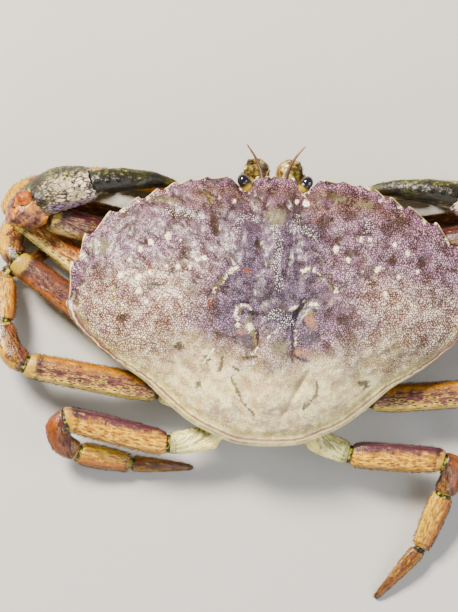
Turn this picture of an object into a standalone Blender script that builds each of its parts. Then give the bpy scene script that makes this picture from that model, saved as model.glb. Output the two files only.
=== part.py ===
"""A still, life-size model of a large male Dungeness crab, crouched on the floor.

Sizes are in millimetres and become metres when a mesh is made. The crab faces +Y, its right side is +X and
up is +Z. Its plan starts from the middle of the back shell, and at the end the whole crab is moved so that the
origin lies on the floor under the middle of its box.
"""

import math

import bmesh
import bpy
from mathutils import Vector

MM = 0.001
GAP = 0.3
SHARPEST = 2.0
SHARP_ANGLE = math.radians(35)
UP = Vector((0, 0, 1))
SIDES = (("left", -1), ("right", 1))

# Back shell: the tenth pair of teeth is the widest place, and the median front tooth the foremost
SHELL_MIDDLE = (0.0, -2.0)
SHELL_PEAK = 57.0
MARGIN_HEIGHT = 34.0
MARGIN_SLOPE = 0.04
SHELL_FLOOR = 25.6
FRONT_TEETH = [(0, 59.8), (1.7, 58.0), (3.5, 59.4), (5.4, 57.6), (7.8, 59.2)]
ORBIT = [(9.3, 56.4), (11.0, 54.0), (13.4, 53.1), (15.8, 54.0), (17.8, 56.4)]
SIDE_TEETH = [
    (20.0, 58.9), (29.3, 58.4), (36.4, 57.3), (43.4, 55.5), (50.4, 52.5),
    (58.6, 48.7), (70.8, 42.4), (81.6, 32.2), (87.4, 19.6), (88.6, 1.4),
]
NOTCH_DEPTHS = [1.5, 1.7, 1.9, 2.1, 2.4, 2.7, 3.0, 3.2, 1.6]
NOTCH_PLACE = 0.84
RIM_DEPTH = 1.6
FRONT_DEPTH = 3.6
FRONT_START = 46.0
EDGE_LIFT = 0.6
DOME_POWER = 2.3
PLAN_POWER = 4
SWELLING_POWER = 8
FOLD_POWER = 1.1
DOME_SHARES = (0.16, 0.3, 0.43, 0.55, 0.66, 0.76, 0.85, 0.925, 0.975)
FOLD_SHARES = (0.975, 0.9, 0.78, 0.66, 0.55)
REAR_MARGIN = [
    (85.6, -5.6), (80.2, -11.6), (75.0, -16.2), (69.2, -20.8), (62.8, -25.2), (57.6, -28.2), (52.6, -31.6),
    (47.2, -36.6), (41.6, -41.6), (36.0, -46.2), (30.2, -49.8), (24.0, -52.6), (14.6, -56.6), (7.4, -57.4),
]

# Underside: the breast plate is an oval with one flat facet for each limb
BREAST_MIDDLE = (0.0, -6.0)
BREAST_RADII = (36.0, 46.0)
BREAST_LOW = 12.0
BREAST_TOP = SHELL_FLOOR - GAP
FACET_CORNERS = [90, 71, 52, 25, -1, -26, -50, -72]
FACET_SHARES = (0.0, 0.14, 0.86)
BREAST_RINGS = [(0.3, 0.0, 0.0), (0.5, 0.0, 0.9), (0.86, 0.3, 1.0), (1.0, 1.6, 0.0)]
LIMB_HEIGHT = 19.2

LIMB_SIDES = 10
SQUARENESS = 2.3

# Abdomen: its middle line, where its segments part along it, and its (place, width, thickness)
FLAP_LINE = [(0, -51.6, 28.6), (0, -54.4, 25.2), (0, -56.0, 21.0), (0, -55.8, 16.6), (0, -53.6, 12.8),
             (0, -49.6, 10.6), (0, -44.0, 9.9), (0, -7, 10.2)]
FLAP_SEGMENTS = [0, 6, 12, 20.5, 29, 37.5, 46, 57, 67.5]
FLAP_STEP = 0.35
FLAP_GROOVE = 1.3
FLAP_SIDES = 12
FLAP_ROUNDNESS = 0.8
WHOLE = 1 - 1e-6
FLAP_SIZES = [(0, 26.0, 4.4), (0.12, 27.0, 4.8), (0.24, 25.0, 4.4), (0.34, 22.4, 3.6), (0.44, 19.6, 2.9),
              (0.62, 15.0, 2.8), (0.85, 10.4, 2.8), (0.95, 7.6, 2.6), (1, 4.4, 2.2)]

# Eyes, feelers and outer foot jaws: the left one's line, and its (place, width, height)
EYE_LINE = [(-8.6, 49.0, 36.0), (-14.6, 57.8, 36.4)]
EYE_SIZES = [(0, 3.6, 3.6), (0.3, 4.2, 4.2), (0.52, 4.4, 4.4), (0.66, 5.6, 5.6), (0.84, 5.4, 5.4),
             (0.96, 3.4, 3.4), (1, 1.6, 1.6)]
FEELER_LINE = [(-4.6, 49.6, 30.8), (-5.4, 59.4, 31.0), (-8.4, 66.4, 32.4), (-12.6, 72.0, 35.4)]
FEELER_SIZES = [(0, 3.4, 3.2), (0.36, 3.0, 2.8), (0.44, 1.8, 1.8), (1, 0.7, 0.7)]
FEELER_SIDES = 6
JAW_LINE = [(-6.8, 50.0, 21.0), (-7.4, 59.0, 24.2), (-8.2, 64.4, 27.8)]
JAW_SIZES = [(0, 10.2, 8.6), (0.1, 11.8, 8.0), (0.4, 12.4, 6.6), (0.58, 12.2, 5.6), (0.63, 10.2, 4.2),
             (0.68, 11.8, 5.0), (0.88, 10.8, 4.4), (0.96, 8.2, 3.6), (1, 5.0, 2.4)]
JAW_PALP_LINE = [(-12.0, 61.4, 26.6), (-10.4, 64.8, 27.8), (-6.2, 65.6, 27.4), (-2.9, 62.6, 25.2),
                 (-2.2, 57.0, 21.6)]
JAW_PALP_SIZES = [(0, 2.2, 2.4), (0.2, 2.8, 3.0), (0.55, 2.8, 2.9), (0.8, 2.4, 2.5), (1, 1.3, 1.4)]
JAW_BRANCH_LINE = [(-11.4, 42.6, 19.6), (-13.2, 52.0, 21.2), (-13.4, 60.0, 25.4)]
JAW_BRANCH_SIZES = [(0, 2.6, 2.8), (0.5, 3.0, 2.8), (0.9, 2.4, 2.2), (1, 1.2, 1.2)]
JAW_SIDES = 8

# Which facet of the breast plate carries what, from the front: the foot jaw, the claw, then the four legs
JAW_FACET = 0
CLAW_FACET = 2
FIRST_LEG_FACET = 3

# Spikes and claw ornament: places along the line, then lengths
CREST_SPIKES = [(0.12, 2.0), (0.3, 2.5), (0.48, 2.7), (0.66, 2.6), (0.84, 2.3)]
FINGER_SPIKES = [(0.06, 2.0), (0.17, 2.0), (0.28, 1.8), (0.39, 1.6), (0.5, 1.3)]
BITE_TEETH = [0.2, 0.33, 0.46, 0.58, 0.69, 0.79]
SPIKE_SIDES = 6
SPIKE_FOOT = 2.2
SPIKE_SINK = 0.5
SPIKE_LEAN = 0.35
SPIKE_SHAPE = [(0.0, 0.95), (0.6, 0.5)]
ANY_SIDE = Vector((0.31, 0.52, 0.79))


def named_material(name, colour, roughness):
    """A plain shell material in the part's own colour."""
    material = bpy.data.materials.new(name)
    material.use_nodes = True
    shader = material.node_tree.nodes["Principled BSDF"]
    shader.inputs["Base Color"].default_value = (*colour, 1.0)
    shader.inputs["Roughness"].default_value = roughness
    shader.inputs["Metallic"].default_value = 0.0
    return material


def mesh_object(name, rings, material, caps=("flat", "flat")):
    """One closed surface through rings of points. A cap is flat, or a point that its fan of faces meets."""
    mesh = bmesh.new()
    rows = [[mesh.verts.new(point * MM) for point in ring] for ring in rings]
    count = len(rows[0])
    for row, following in zip(rows, rows[1:]):
        for i in range(count):
            j = (i + 1) % count
            mesh.faces.new((row[i], row[j], following[j], following[i]))
    for row, cap, turn in ((rows[0], caps[0], -1), (rows[-1], caps[1], 1)):
        if cap == "flat":
            mesh.faces.new(row[::turn])
            continue
        tip = mesh.verts.new(cap * MM)
        for i in range(count):
            mesh.faces.new((row[i], row[(i + 1) % count], tip)[::turn])
    if mesh.calc_volume(signed=True) < 0:
        bmesh.ops.reverse_faces(mesh, faces=mesh.faces[:])
    bmesh.ops.triangulate(mesh, faces=mesh.faces[:])
    data = bpy.data.meshes.new(name)
    mesh.to_mesh(data)
    mesh.free()
    data.materials.append(material)
    part = bpy.data.objects.new(name, data)
    crab.objects.link(part)
    return part


def replace_mesh(part, modifier):
    """Applies one modifier and keeps the largest closed surface of what it leaves."""
    graph = bpy.context.evaluated_depsgraph_get()
    graph.update()
    data = bpy.data.meshes.new_from_object(part.evaluated_get(graph))
    part.modifiers.remove(modifier)
    mesh = bmesh.new()
    mesh.from_mesh(data)
    islands = []
    waiting = set(mesh.faces)
    while waiting:
        stack = [waiting.pop()]
        island = []
        while stack:
            face = stack.pop()
            island.append(face)
            for edge in face.edges:
                for other in edge.link_faces:
                    if other in waiting:
                        waiting.remove(other)
                        stack.append(other)
        islands.append(island)
    islands.sort(key=lambda faces: sum(face.calc_area() for face in faces))
    loose = [face for island in islands[:-1] for face in island]
    bmesh.ops.delete(mesh, geom=loose, context="FACES")
    bmesh.ops.remove_doubles(mesh, verts=mesh.verts[:], dist=1e-6)
    bmesh.ops.triangulate(mesh, faces=mesh.faces[:])
    mesh.to_mesh(data)
    mesh.free()
    part.data = data


def cut_clear(part, others, solver="EXACT"):
    """Cuts a part back from its neighbours, each grown by the gap."""
    for other in others:
        mesh = bmesh.new()
        mesh.from_mesh(other.data)
        mesh.normal_update()
        moves = [vert.normal * min(vert.calc_shell_factor(), SHARPEST) * GAP * MM for vert in mesh.verts]
        for vert, move in zip(mesh.verts, moves):
            vert.co += move
        data = bpy.data.meshes.new("grown")
        mesh.to_mesh(data)
        mesh.free()
        grown = bpy.data.objects.new("grown", data)
        cutters.objects.link(grown)
        modifier = part.modifiers.new("clear", "BOOLEAN")
        modifier.operation = "DIFFERENCE"
        modifier.object = grown
        modifier.solver = solver
        replace_mesh(part, modifier)
        bpy.data.objects.remove(grown)


def fuse(part, pieces, solver="EXACT"):
    """Joins pieces to a part in one union and removes them."""
    heap = bpy.data.collections.new("pieces")
    cutters.children.link(heap)
    for piece in pieces:
        crab.objects.unlink(piece)
        heap.objects.link(piece)
    modifier = part.modifiers.new("join", "BOOLEAN")
    modifier.operation = "UNION"
    modifier.operand_type = "COLLECTION"
    modifier.collection = heap
    modifier.solver = solver
    replace_mesh(part, modifier)
    for piece in pieces:
        bpy.data.objects.remove(piece)
    bpy.data.collections.remove(heap)


def on_plane(start, offset, axis, point, normal):
    """How far along the axis from start the line through offset meets a plane."""
    return (point - start - offset).dot(normal) / axis.dot(normal)


def oval(width, height, axis, roll=0.0, sides=LIMB_SIDES):
    """Offsets round a rounded section that stands square to the axis."""
    side = axis.cross(UP).normalized()
    top = side.cross(axis)
    across = side * math.cos(roll) + top * math.sin(roll)
    over = top * math.cos(roll) - side * math.sin(roll)
    offsets = []
    for i in range(sides):
        turn = 2 * math.pi * (i + 0.5) / sides
        c = math.cos(turn)
        s = math.sin(turn)
        x = math.copysign(abs(c) ** (2 / SQUARENESS), c) * width / 2
        z = math.copysign(abs(s) ** (2 / SQUARENESS), s) * height / 2
        offsets.append(across * x + over * z)
    return offsets


def between(table, place):
    """A pair of sizes at a place along a part, from a table of (place, width, height)."""
    for (a, *first), (b, *second) in zip(table, table[1:]):
        if place <= b:
            share = (place - a) / (b - a)
            return [p + (q - p) * share for p, q in zip(first, second)]
    return table[-1][1:]


def swept_part(name, line, table, material, first_plane=None, last_plane=None, tip=None, roll=0.0,
               sides=LIMB_SIDES):
    """A limb part round a bent line, mitred at each bend and cut flat in the planes at its two ends."""
    points = [Vector(point) for point in line]
    axes = [(b - a).normalized() for a, b in zip(points, points[1:])]
    lengths = [(b - a).length for a, b in zip(points, points[1:])]
    total = sum(lengths)
    planes = [(points[0], first_plane or axes[0])]
    for k in range(1, len(points) - 1):
        planes.append((points[k], (axes[k - 1] + axes[k]).normalized()))
    planes.append((points[-1], last_plane or axes[-1]))
    planes[0] = (planes[0][0] + planes[0][1] * GAP / 2, planes[0][1])
    if tip is None:
        planes[-1] = (planes[-1][0] - planes[-1][1] * GAP / 2, planes[-1][1])
    rings = []
    done = 0.0
    for k, axis in enumerate(axes):
        low = done / total
        high = (done + lengths[k]) / total
        inner = [place for place, *_ in table if low < place < high]
        stops = [low] + inner + ([high] if k == len(axes) - 1 else [])
        for stop in stops:
            share = (stop - low) / (high - low)
            ring = []
            for offset in oval(*between(table, stop), axis, roll, sides):
                a = on_plane(points[k], offset, axis, *planes[k])
                b = on_plane(points[k], offset, axis, *planes[k + 1])
                ring.append(points[k] + offset + axis * (a + (b - a) * share))
            rings.append(ring)
        done += lengths[k]
    caps = ["flat", "flat"]
    if tip is not None:
        for ring in rings:
            for point in ring:
                point.z = max(point.z, 0.0)
        caps[1] = Vector(tip)
    return mesh_object(name, rings, material, caps)


def spike(foot, direction, length, radius, material):
    """A pointed tooth whose foot is sunk in what it grows from."""
    ahead = direction.normalized()
    side = ahead.cross(ANY_SIDE).normalized()
    over = side.cross(ahead)
    rings = []
    for forward, scale in [(-SPIKE_FOOT, 1.0)] + [(length * share, scale) for share, scale in SPIKE_SHAPE]:
        ring = []
        for i in range(SPIKE_SIDES):
            turn = 2 * math.pi * i / SPIKE_SIDES
            spoke = side * math.cos(turn) + over * math.sin(turn)
            ring.append(foot + ahead * forward + spoke * radius * scale)
        rings.append(ring)
    return mesh_object("spike", rings, material, ("flat", foot + ahead * length))


def along_line(line, place):
    """The point at a share of a bent line's length, and the line's direction there."""
    lengths = [(b - a).length for a, b in zip(line, line[1:])]
    rest = place * sum(lengths)
    for k, length in enumerate(lengths):
        if rest <= length or k == len(lengths) - 1:
            axis = (line[k + 1] - line[k]).normalized()
            return line[k] + axis * rest, axis
        rest -= length


def on_side(line, side):
    """A left-side line, mirrored where the side is the right one."""
    return [Vector((-x * side, y, z)) for x, y, z in line]


def spikes_along(line, table, places, direction, material, foot_radius):
    """A row of spikes on a swept part, each standing where the part's own section ends."""
    row = []
    for place, length in places:
        point, axis = along_line(line, place)
        out = (direction - axis * direction.dot(axis)).normalized()
        _, height = between(table, place)
        foot = point + out * (height / 2 - SPIKE_SINK)
        row.append(spike(foot, out + axis * SPIKE_LEAN, length + SPIKE_SINK, foot_radius, material))
    return row


def shell_outline():
    """The back shell's edge from the front round the right side, the rear and the left side."""
    half = FRONT_TEETH + ORBIT
    for k, (x, y) in enumerate(SIDE_TEETH):
        half.append((x, y))
        if k < len(NOTCH_DEPTHS):
            nx, ny = SIDE_TEETH[k + 1]
            along = Vector((nx - x, ny - y))
            inward = Vector((along.y, -along.x)).normalized() * NOTCH_DEPTHS[k]
            half.append((x + along.x * NOTCH_PLACE + inward.x, y + along.y * NOTCH_PLACE + inward.y))
    half += REAR_MARGIN
    rear = [(0.0, -57.6)]
    return half + rear + [(-x, y) for x, y in reversed(half[1:])]


def bump(x, y, place, spread, height):
    """A soft swelling of the shell, or a hollow where its height is negative."""
    u = (x - place[0]) / spread[0]
    v = (y - place[1]) / spread[1]
    return height * math.exp(-(u * u + v * v) / 2)


def shell_swellings(x, y):
    """The stomach, heart and gill regions of the back, with the two grooves beside the heart region."""
    x = abs(x)
    return (
        bump(x, y, (0, 24), (15, 12), 1.6)
        + bump(x, y, (0, -16), (7, 12), 1.2)
        + bump(x, y, (50, 2), (17, 15), 2.4)
        + bump(x, y, (44, 34), (10, 8), 1.2)
        + bump(x, y, (17, -8), (4.5, 13), -1.6)
    )


def plan_angle(point):
    """A point's direction from the middle of the back shell, in radians clockwise from the front."""
    turn = math.atan2(point[0] - SHELL_MIDDLE[0], point[1] - SHELL_MIDDLE[1])
    return turn if turn >= 0 else turn + 2 * math.pi


def smooth_margin():
    """The edge without its teeth, as (direction, distance) pairs once round."""
    outline = shell_outline()
    teeth = set(FRONT_TEETH[::2] + SIDE_TEETH[:-1])
    kept = [(x, y) for x, y in outline if (abs(x), y) not in teeth]
    middle = Vector(SHELL_MIDDLE)
    return sorted((plan_angle(point), (Vector(point) - middle).length) for point in kept)


def margin_reach(margin, turn):
    """How far the toothless edge lies from the middle in one direction."""
    before = max((pair for pair in margin if pair[0] <= turn), default=None)
    after = min((pair for pair in margin if pair[0] > turn), default=None)
    if before is None:
        before = (margin[-1][0] - 2 * math.pi, margin[-1][1])
    if after is None:
        after = (margin[0][0] + 2 * math.pi, margin[0][1])
    share = (turn - before[0]) / (after[0] - before[0])
    return before[1] + (after[1] - before[1]) * share


def margin_height(y):
    """The height of the shell's edge, a little higher at the front."""
    return MARGIN_HEIGHT + MARGIN_SLOPE * y


def rim_depth(y):
    """The thickness of the shell's edge, more at the front where the orbits lie."""
    share = (y - FRONT_START) / (SIDE_TEETH[0][1] - FRONT_START)
    return RIM_DEPTH + FRONT_DEPTH * math.sqrt(max(0.0, share))


def shell_place(margin, number, count, own_turn, share):
    """A point of the shell's plan. Towards the middle the points spread evenly round it."""
    even = 2 * math.pi * number / count
    turn = even + (own_turn - even) * share ** PLAN_POWER
    reach = margin_reach(margin, turn) * share
    return Vector((SHELL_MIDDLE[0] + reach * math.sin(turn), SHELL_MIDDLE[1] + reach * math.cos(turn)))


def back_shell(material):
    """The whole upper shell: a low dome over a saw-toothed edge, folded under to a flat floor."""
    outline = [Vector(point) for point in shell_outline()]
    middle = Vector(SHELL_MIDDLE)
    count = len(outline)
    margin = smooth_margin()
    turns = [plan_angle(point) for point in outline]
    rings = []
    for share in DOME_SHARES:
        ring = []
        for i, turn in enumerate(turns):
            place = shell_place(margin, i, count, turn, share)
            edge = margin_height(place.y)
            rise = (SHELL_PEAK - edge) * (1 - share ** DOME_POWER)
            swelling = shell_swellings(*place) * (1 - share ** SWELLING_POWER)
            ring.append(Vector((*place, edge + EDGE_LIFT + rise + swelling)))
        rings.append(ring)
    rings.append([Vector((*point, margin_height(point.y))) for point in outline])
    for share in FOLD_SHARES:
        ring = []
        for i, turn in enumerate(turns):
            place = shell_place(margin, i, count, turn, share)
            edge = margin_height(place.y) - rim_depth(place.y)
            fold = ((share - FOLD_SHARES[-1]) / (1 - FOLD_SHARES[-1])) ** FOLD_POWER
            ring.append(Vector((*place, SHELL_FLOOR + (edge - SHELL_FLOOR) * fold)))
        rings.append(ring)
    crown = Vector((*middle, SHELL_PEAK + EDGE_LIFT + shell_swellings(*middle)))
    floor = Vector((*middle, SHELL_FLOOR))
    return mesh_object("carapace", rings, material, (crown, floor))


def facet_corner(angle):
    """A corner of the breast plate's plan."""
    turn = math.radians(angle)
    return Vector((
        BREAST_MIDDLE[0] + BREAST_RADII[0] * math.cos(turn),
        BREAST_MIDDLE[1] + BREAST_RADII[1] * math.sin(turn),
    ))


def facet(number, side):
    """The middle and the outward direction of one facet, counted from the front, on a side of -1 or 1."""
    a = facet_corner(FACET_CORNERS[number])
    b = facet_corner(FACET_CORNERS[number + 1])
    middle = (a + b) / 2
    normal = Vector(((a - b).y, -(a - b).x)).normalized()
    if normal.dot(middle - Vector(BREAST_MIDDLE)) < 0:
        normal = -normal
    return (
        Vector((middle.x * side, middle.y, LIMB_HEIGHT)),
        Vector((normal.x * side, normal.y, 0)),
    )


def breast_plate(material):
    """The sternum and the body wall: a flat facet for each limb, and a groove between each two."""
    corners = [facet_corner(angle) for angle in FACET_CORNERS]
    right = [(a.lerp(b, share), share) for a, b in zip(corners, corners[1:]) for share in FACET_SHARES]
    right.append((corners[-1], 0.0))
    plan = right + [(Vector((-p.x, p.y)), share) for p, share in reversed(right[1:])]
    middle = Vector(BREAST_MIDDLE)
    rings = []
    for scale, rise, groove in BREAST_RINGS:
        heights = [BREAST_LOW + rise + (groove if share == 0.0 else 0.0) for _, share in plan]
        rings.append([Vector((*(middle + (p - middle) * scale), z)) for (p, _), z in zip(plan, heights)])
    rings.append([Vector((*p, BREAST_TOP)) for p, _ in plan])
    return mesh_object("thorax", rings, material)


def tail_flap(material):
    """The abdomen: it leaves the rear of the shell, turns under and lies folded along the breast plate."""
    points = [Vector(point) for point in FLAP_LINE]
    starts = [0.0]
    for first, second in zip(points, points[1:]):
        starts.append(starts[-1] + (second - first).length)
    stations = []
    for from_mm, to_mm in zip(FLAP_SEGMENTS, FLAP_SEGMENTS[1:]):
        stations += [(from_mm + GAP / 2, -FLAP_STEP), (from_mm + FLAP_GROOVE, 0.0), (to_mm - GAP / 2, 0.0)]
    rings = []
    for along, step in stations:
        along = min(along, starts[-1] * WHOLE)
        k = max(i for i, start in enumerate(starts[:-1]) if start <= along)
        share = (along - starts[k]) / (starts[k + 1] - starts[k])
        place = points[k].lerp(points[k + 1], share)
        before = points[max(k - 1, 0)] if share < 0.5 else points[k]
        after = points[k + 1] if share < 0.5 else points[min(k + 2, len(points) - 1)]
        axis = (after - before).normalized()
        over = axis.cross(Vector((1, 0, 0))).normalized()
        width, thickness = between(FLAP_SIZES, along / starts[-1])
        ring = []
        for i in range(FLAP_SIDES):
            turn = 2 * math.pi * (i + 0.5) / FLAP_SIDES
            c = math.cos(turn)
            s = math.sin(turn)
            x = math.copysign(abs(c) ** FLAP_ROUNDNESS, c) * (width / 2 + step)
            v = math.copysign(abs(s) ** FLAP_ROUNDNESS, s) * (thickness / 2 + step)
            ring.append(place + Vector((x, 0, 0)) + over * v)
        rings.append(ring)
    return mesh_object("abdomen", rings, material)


def eye(side, name, material):
    """A short stalk with the round cornea at its end, lying forwards in the orbit."""
    return swept_part(name, on_side(EYE_LINE, side), EYE_SIZES, material)


def antenna(side, name, material):
    """The second feeler: a stout foot beside the front teeth and a short whip."""
    return swept_part(name, on_side(FEELER_LINE, side), FEELER_SIZES, material, sides=FEELER_SIDES)


def mouth_flap(side, name, material):
    """The outer foot jaw: two broad plates that close the mouth, a folded palp and a slender outer branch."""
    root, normal = facet(JAW_FACET, side)
    line = [root + normal * GAP / 2] + on_side(JAW_LINE, side)
    jaw = swept_part(name, line, JAW_SIZES, material, first_plane=normal)
    palp = swept_part("palp", on_side(JAW_PALP_LINE, side), JAW_PALP_SIZES, material, sides=JAW_SIDES)
    branch = swept_part("branch", on_side(JAW_BRANCH_LINE, side), JAW_BRANCH_SIZES, material, sides=JAW_SIDES)
    fuse(jaw, [palp, branch], "MANIFOLD")


# Walking legs, front pair to rear pair. Each line holds the start of the merus, the start of the carpus, its
# two knee points, the start of the propodus, the start of the dactyl and the tip. Both sides are alike where
# the photo hides one.
FRONT_LEG = [(-57, 1.5, 19), (-108.5, 38.2, 17.5), (-111.5, 42.5, 15.0), (-109.5, 47.8, 12.0),
             (-97.0, 53.2, 7.8), (-69, 56.8, 5.4), (-43, 51, 0)]
SECOND_LEG = [(-53, -20, 19), (-109.0, 19.4, 18), (-112.2, 24.4, 14.2), (-111.8, 31.0, 8.6),
              (-106, 37.4, 4.9), (-86, 44, 5.0), (-58, 41, 0)]
LEG_JOINTS = {
    (-1, 1): FRONT_LEG,
    (-1, 2): SECOND_LEG,
    (-1, 3): [(-46, -35, 19), (-104, -25.6, 21), (-109.6, -21.6, 20.6), (-112.4, -16.4, 19.0),
              (-114, -8.0, 16.5), (-112.6, 13.4, 8.4), (-87, 28, 0)],
    (-1, 4): [(-41, -58, 19), (-86, -48.4, 21), (-89.6, -52.2, 19.0), (-88.0, -58.6, 14.8),
              (-80, -63.2, 10.5), (-56, -67.4, 5.6), (-29, -68.6, 0)],
    (1, 1): on_side(FRONT_LEG, 1),
    (1, 2): on_side(SECOND_LEG, 1),
    (1, 3): [(46, -36, 19), (104, -30.6, 21), (109.6, -26.8, 20.6), (112.6, -21.2, 19.0),
             (114, -12.0, 16.5), (112.6, 12, 8.4), (87, 27, 0)],
    (1, 4): [(38, -60, 19), (79.4, -61.6, 20), (83.2, -63.8, 19.2), (84.0, -68.6, 16.8),
             (80.8, -76, 12.4), (72, -101, 5.6), (54, -123, 0)],
}
LEG_SIZES = {1: 1.0, 2: 1.03, 3: 1.0, 4: 0.98}
LEG_TABLES = {
    "base": [(0, 11.4, 9.8), (0.07, 12.6, 10.6), (0.2, 12.4, 10.8), (0.27, 10.6, 9.6), (0.34, 11.6, 10.6),
             (0.9, 11.4, 10.4), (1, 9.6, 9.0)],
    "merus": [(0, 9.6, 9.0), (0.06, 11.8, 10.4), (0.3, 12.8, 11.0), (0.75, 12.2, 10.6), (0.95, 11.6, 10.0),
              (1, 9.6, 8.8)],
    "carpus": [(0, 9.6, 8.8), (0.12, 10.8, 9.6), (0.85, 10.8, 9.0), (1, 8.8, 7.6)],
    "propodus": [(0, 8.8, 7.6), (0.1, 10.8, 8.2), (0.5, 11.0, 7.6), (0.92, 8.4, 6.4), (1, 7.0, 5.6)],
    "dactyl": [(0, 7.0, 5.6), (0.1, 7.6, 5.8), (0.55, 5.2, 4.2), (0.85, 3.2, 2.8), (1, 2.2, 2.4)],
}
BEND_INTO_HIP = 0.45
TOE_ARCH = Vector((0, 0, 1.6))
TIP_LIFT = Vector((0, 0, 0.9))
TIP_REACH = 1.2
TIP_DROP = Vector((0, 0, 0.5))


def walking_leg(side_name, side, number, materials):
    """One walking leg: hip, merus, carpus, propodus and dactyl, whose tip rests on a small flat."""
    hip, wrist, knee, shin, ankle, toe, tip = [Vector(place) for place in LEG_JOINTS[side, number]]
    size = LEG_SIZES[number]
    root, normal = facet(FIRST_LEG_FACET + number - 1, side)
    toe_end = tip + TIP_LIFT
    lines = {
        "base": [root + normal * GAP / 2, root + normal * (hip - root).length * BEND_INTO_HIP, hip],
        "merus": [hip, wrist],
        "carpus": [wrist, knee, shin, ankle],
        "propodus": [ankle, toe],
        "dactyl": [toe, (toe + tip) / 2 + TOE_ARCH, toe_end],
    }
    names = list(lines)
    ends = {"dactyl": None}
    for first, second in zip(names, names[1:]):
        into = (lines[first][-1] - lines[first][-2]).normalized()
        out = (lines[second][1] - lines[second][0]).normalized()
        ends[first] = (into + out).normalized()
    ahead = lines["dactyl"][-1] - lines["dactyl"][-2]
    point = toe_end + Vector((ahead.x, ahead.y, 0)).normalized() * TIP_REACH - TIP_DROP
    start = normal
    for key in names:
        table = [(place, width * size, height * size) for place, width, height in LEG_TABLES[key]]
        swept_part(f"{side_name}_leg{number}_{key}", lines[key], table, materials[key], start, ends[key],
                   point if key == "dactyl" else None)
        start = ends[key]


# Claws: the left one's joints, mirrored for the right one. Each sizes table holds (place, width, height).
CLAW_MERUS = (-47, 26.4, 20)
CLAW_MERUS_END = (-96, 37.6, 29)
WRIST_LINE = [(-97.0, 38.0, 30.5), (-107.0, 42.0, 33), (-108.6, 47.4, 33)]
PALM_LINE = [(-106.0, 43.4, 32.0), (-92.0, 50.4, 31.5), (-78.0, 53.6, 29.5)]
FIXED_FINGER = [(-86.0, 52.0, 26.4), (-64.0, 55.2, 21.4), (-50.0, 55.6, 19.8), (-39.0, 54.0, 21.4)]
MOVING_FINGER = [(-80.0, 53.2, 36.4), (-66.0, 55.2, 34.4), (-52.0, 55.8, 29.2), (-40.4, 54.2, 24.8)]
WRIST_KNOB = (-107.6, 45.2, 40.4)
WRIST_SPINE = (-101.0, 36.4, 36.0)
CLAW_HIP_SIZES = [(0, 13.4, 10.2), (0.07, 14.6, 10.8), (0.2, 14.4, 11.2), (0.27, 12.2, 10.0),
                  (0.34, 13.4, 11.0), (0.9, 13.0, 11.0), (1, 11.4, 10.0)]
CLAW_MERUS_SIZES = [(0, 11.4, 10.0), (0.08, 12.6, 11.8), (0.5, 13.0, 14.0), (0.85, 13.0, 14.6),
                    (1, 11.6, 13.0)]
WRIST_SIZES = [(0, 9.0, 9.0), (0.2, 16.6, 15.6), (0.42, 20, 19), (0.66, 20, 19), (0.86, 16.4, 15.6),
               (1, 9.0, 9.0)]
KNOB_SIZES = [(0, 8.0, 8.0), (0.5, 8.0, 8.0), (0.75, 7.0, 7.0), (0.92, 4.4, 4.4), (1, 2.0, 2.0)]
PALM_SIZES = [(0, 11.0, 15.0), (0.1, 14.8, 20.6), (0.3, 17.0, 24.0), (0.6, 17.8, 25.4), (0.85, 16.0, 24.4),
              (1, 12.4, 21.0)]
FIXED_SIZES = [(0, 12.0, 13.0), (0.3, 11.0, 11.6), (0.6, 8.8, 8.8), (0.85, 5.4, 5.2), (0.95, 3.2, 3.0),
               (1, 1.2, 1.2)]
MOVING_SIZES = [(0, 9.0, 9.0), (0.08, 11.0, 11.2), (0.35, 10.0, 10.2), (0.65, 7.6, 7.6), (0.86, 4.8, 4.6),
                (0.96, 2.6, 2.6), (1, 1.1, 1.1)]
KNOB_HALF = 3.4
KNOB_TURN = Vector((0, 0.2, 0))
WRIST_SPINE_WAY = (0.75, 0.25, 0.35)
WRIST_SPINE_LENGTH = 5.0
WRIST_SPINE_FOOT = 2.6
WRIST_SIDES = 12
PALM_SIDES = 16
KNOB_SIDES = 8
PALM_ROLL = 0.3
CREST_WAY = (0.25, 0.0, 1.0)
CREST_FOOT = 1.7
FINGER_FOOT = 1.4
BITE_LENGTH = 0.9
BITE_FOOT = 1.3


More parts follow.
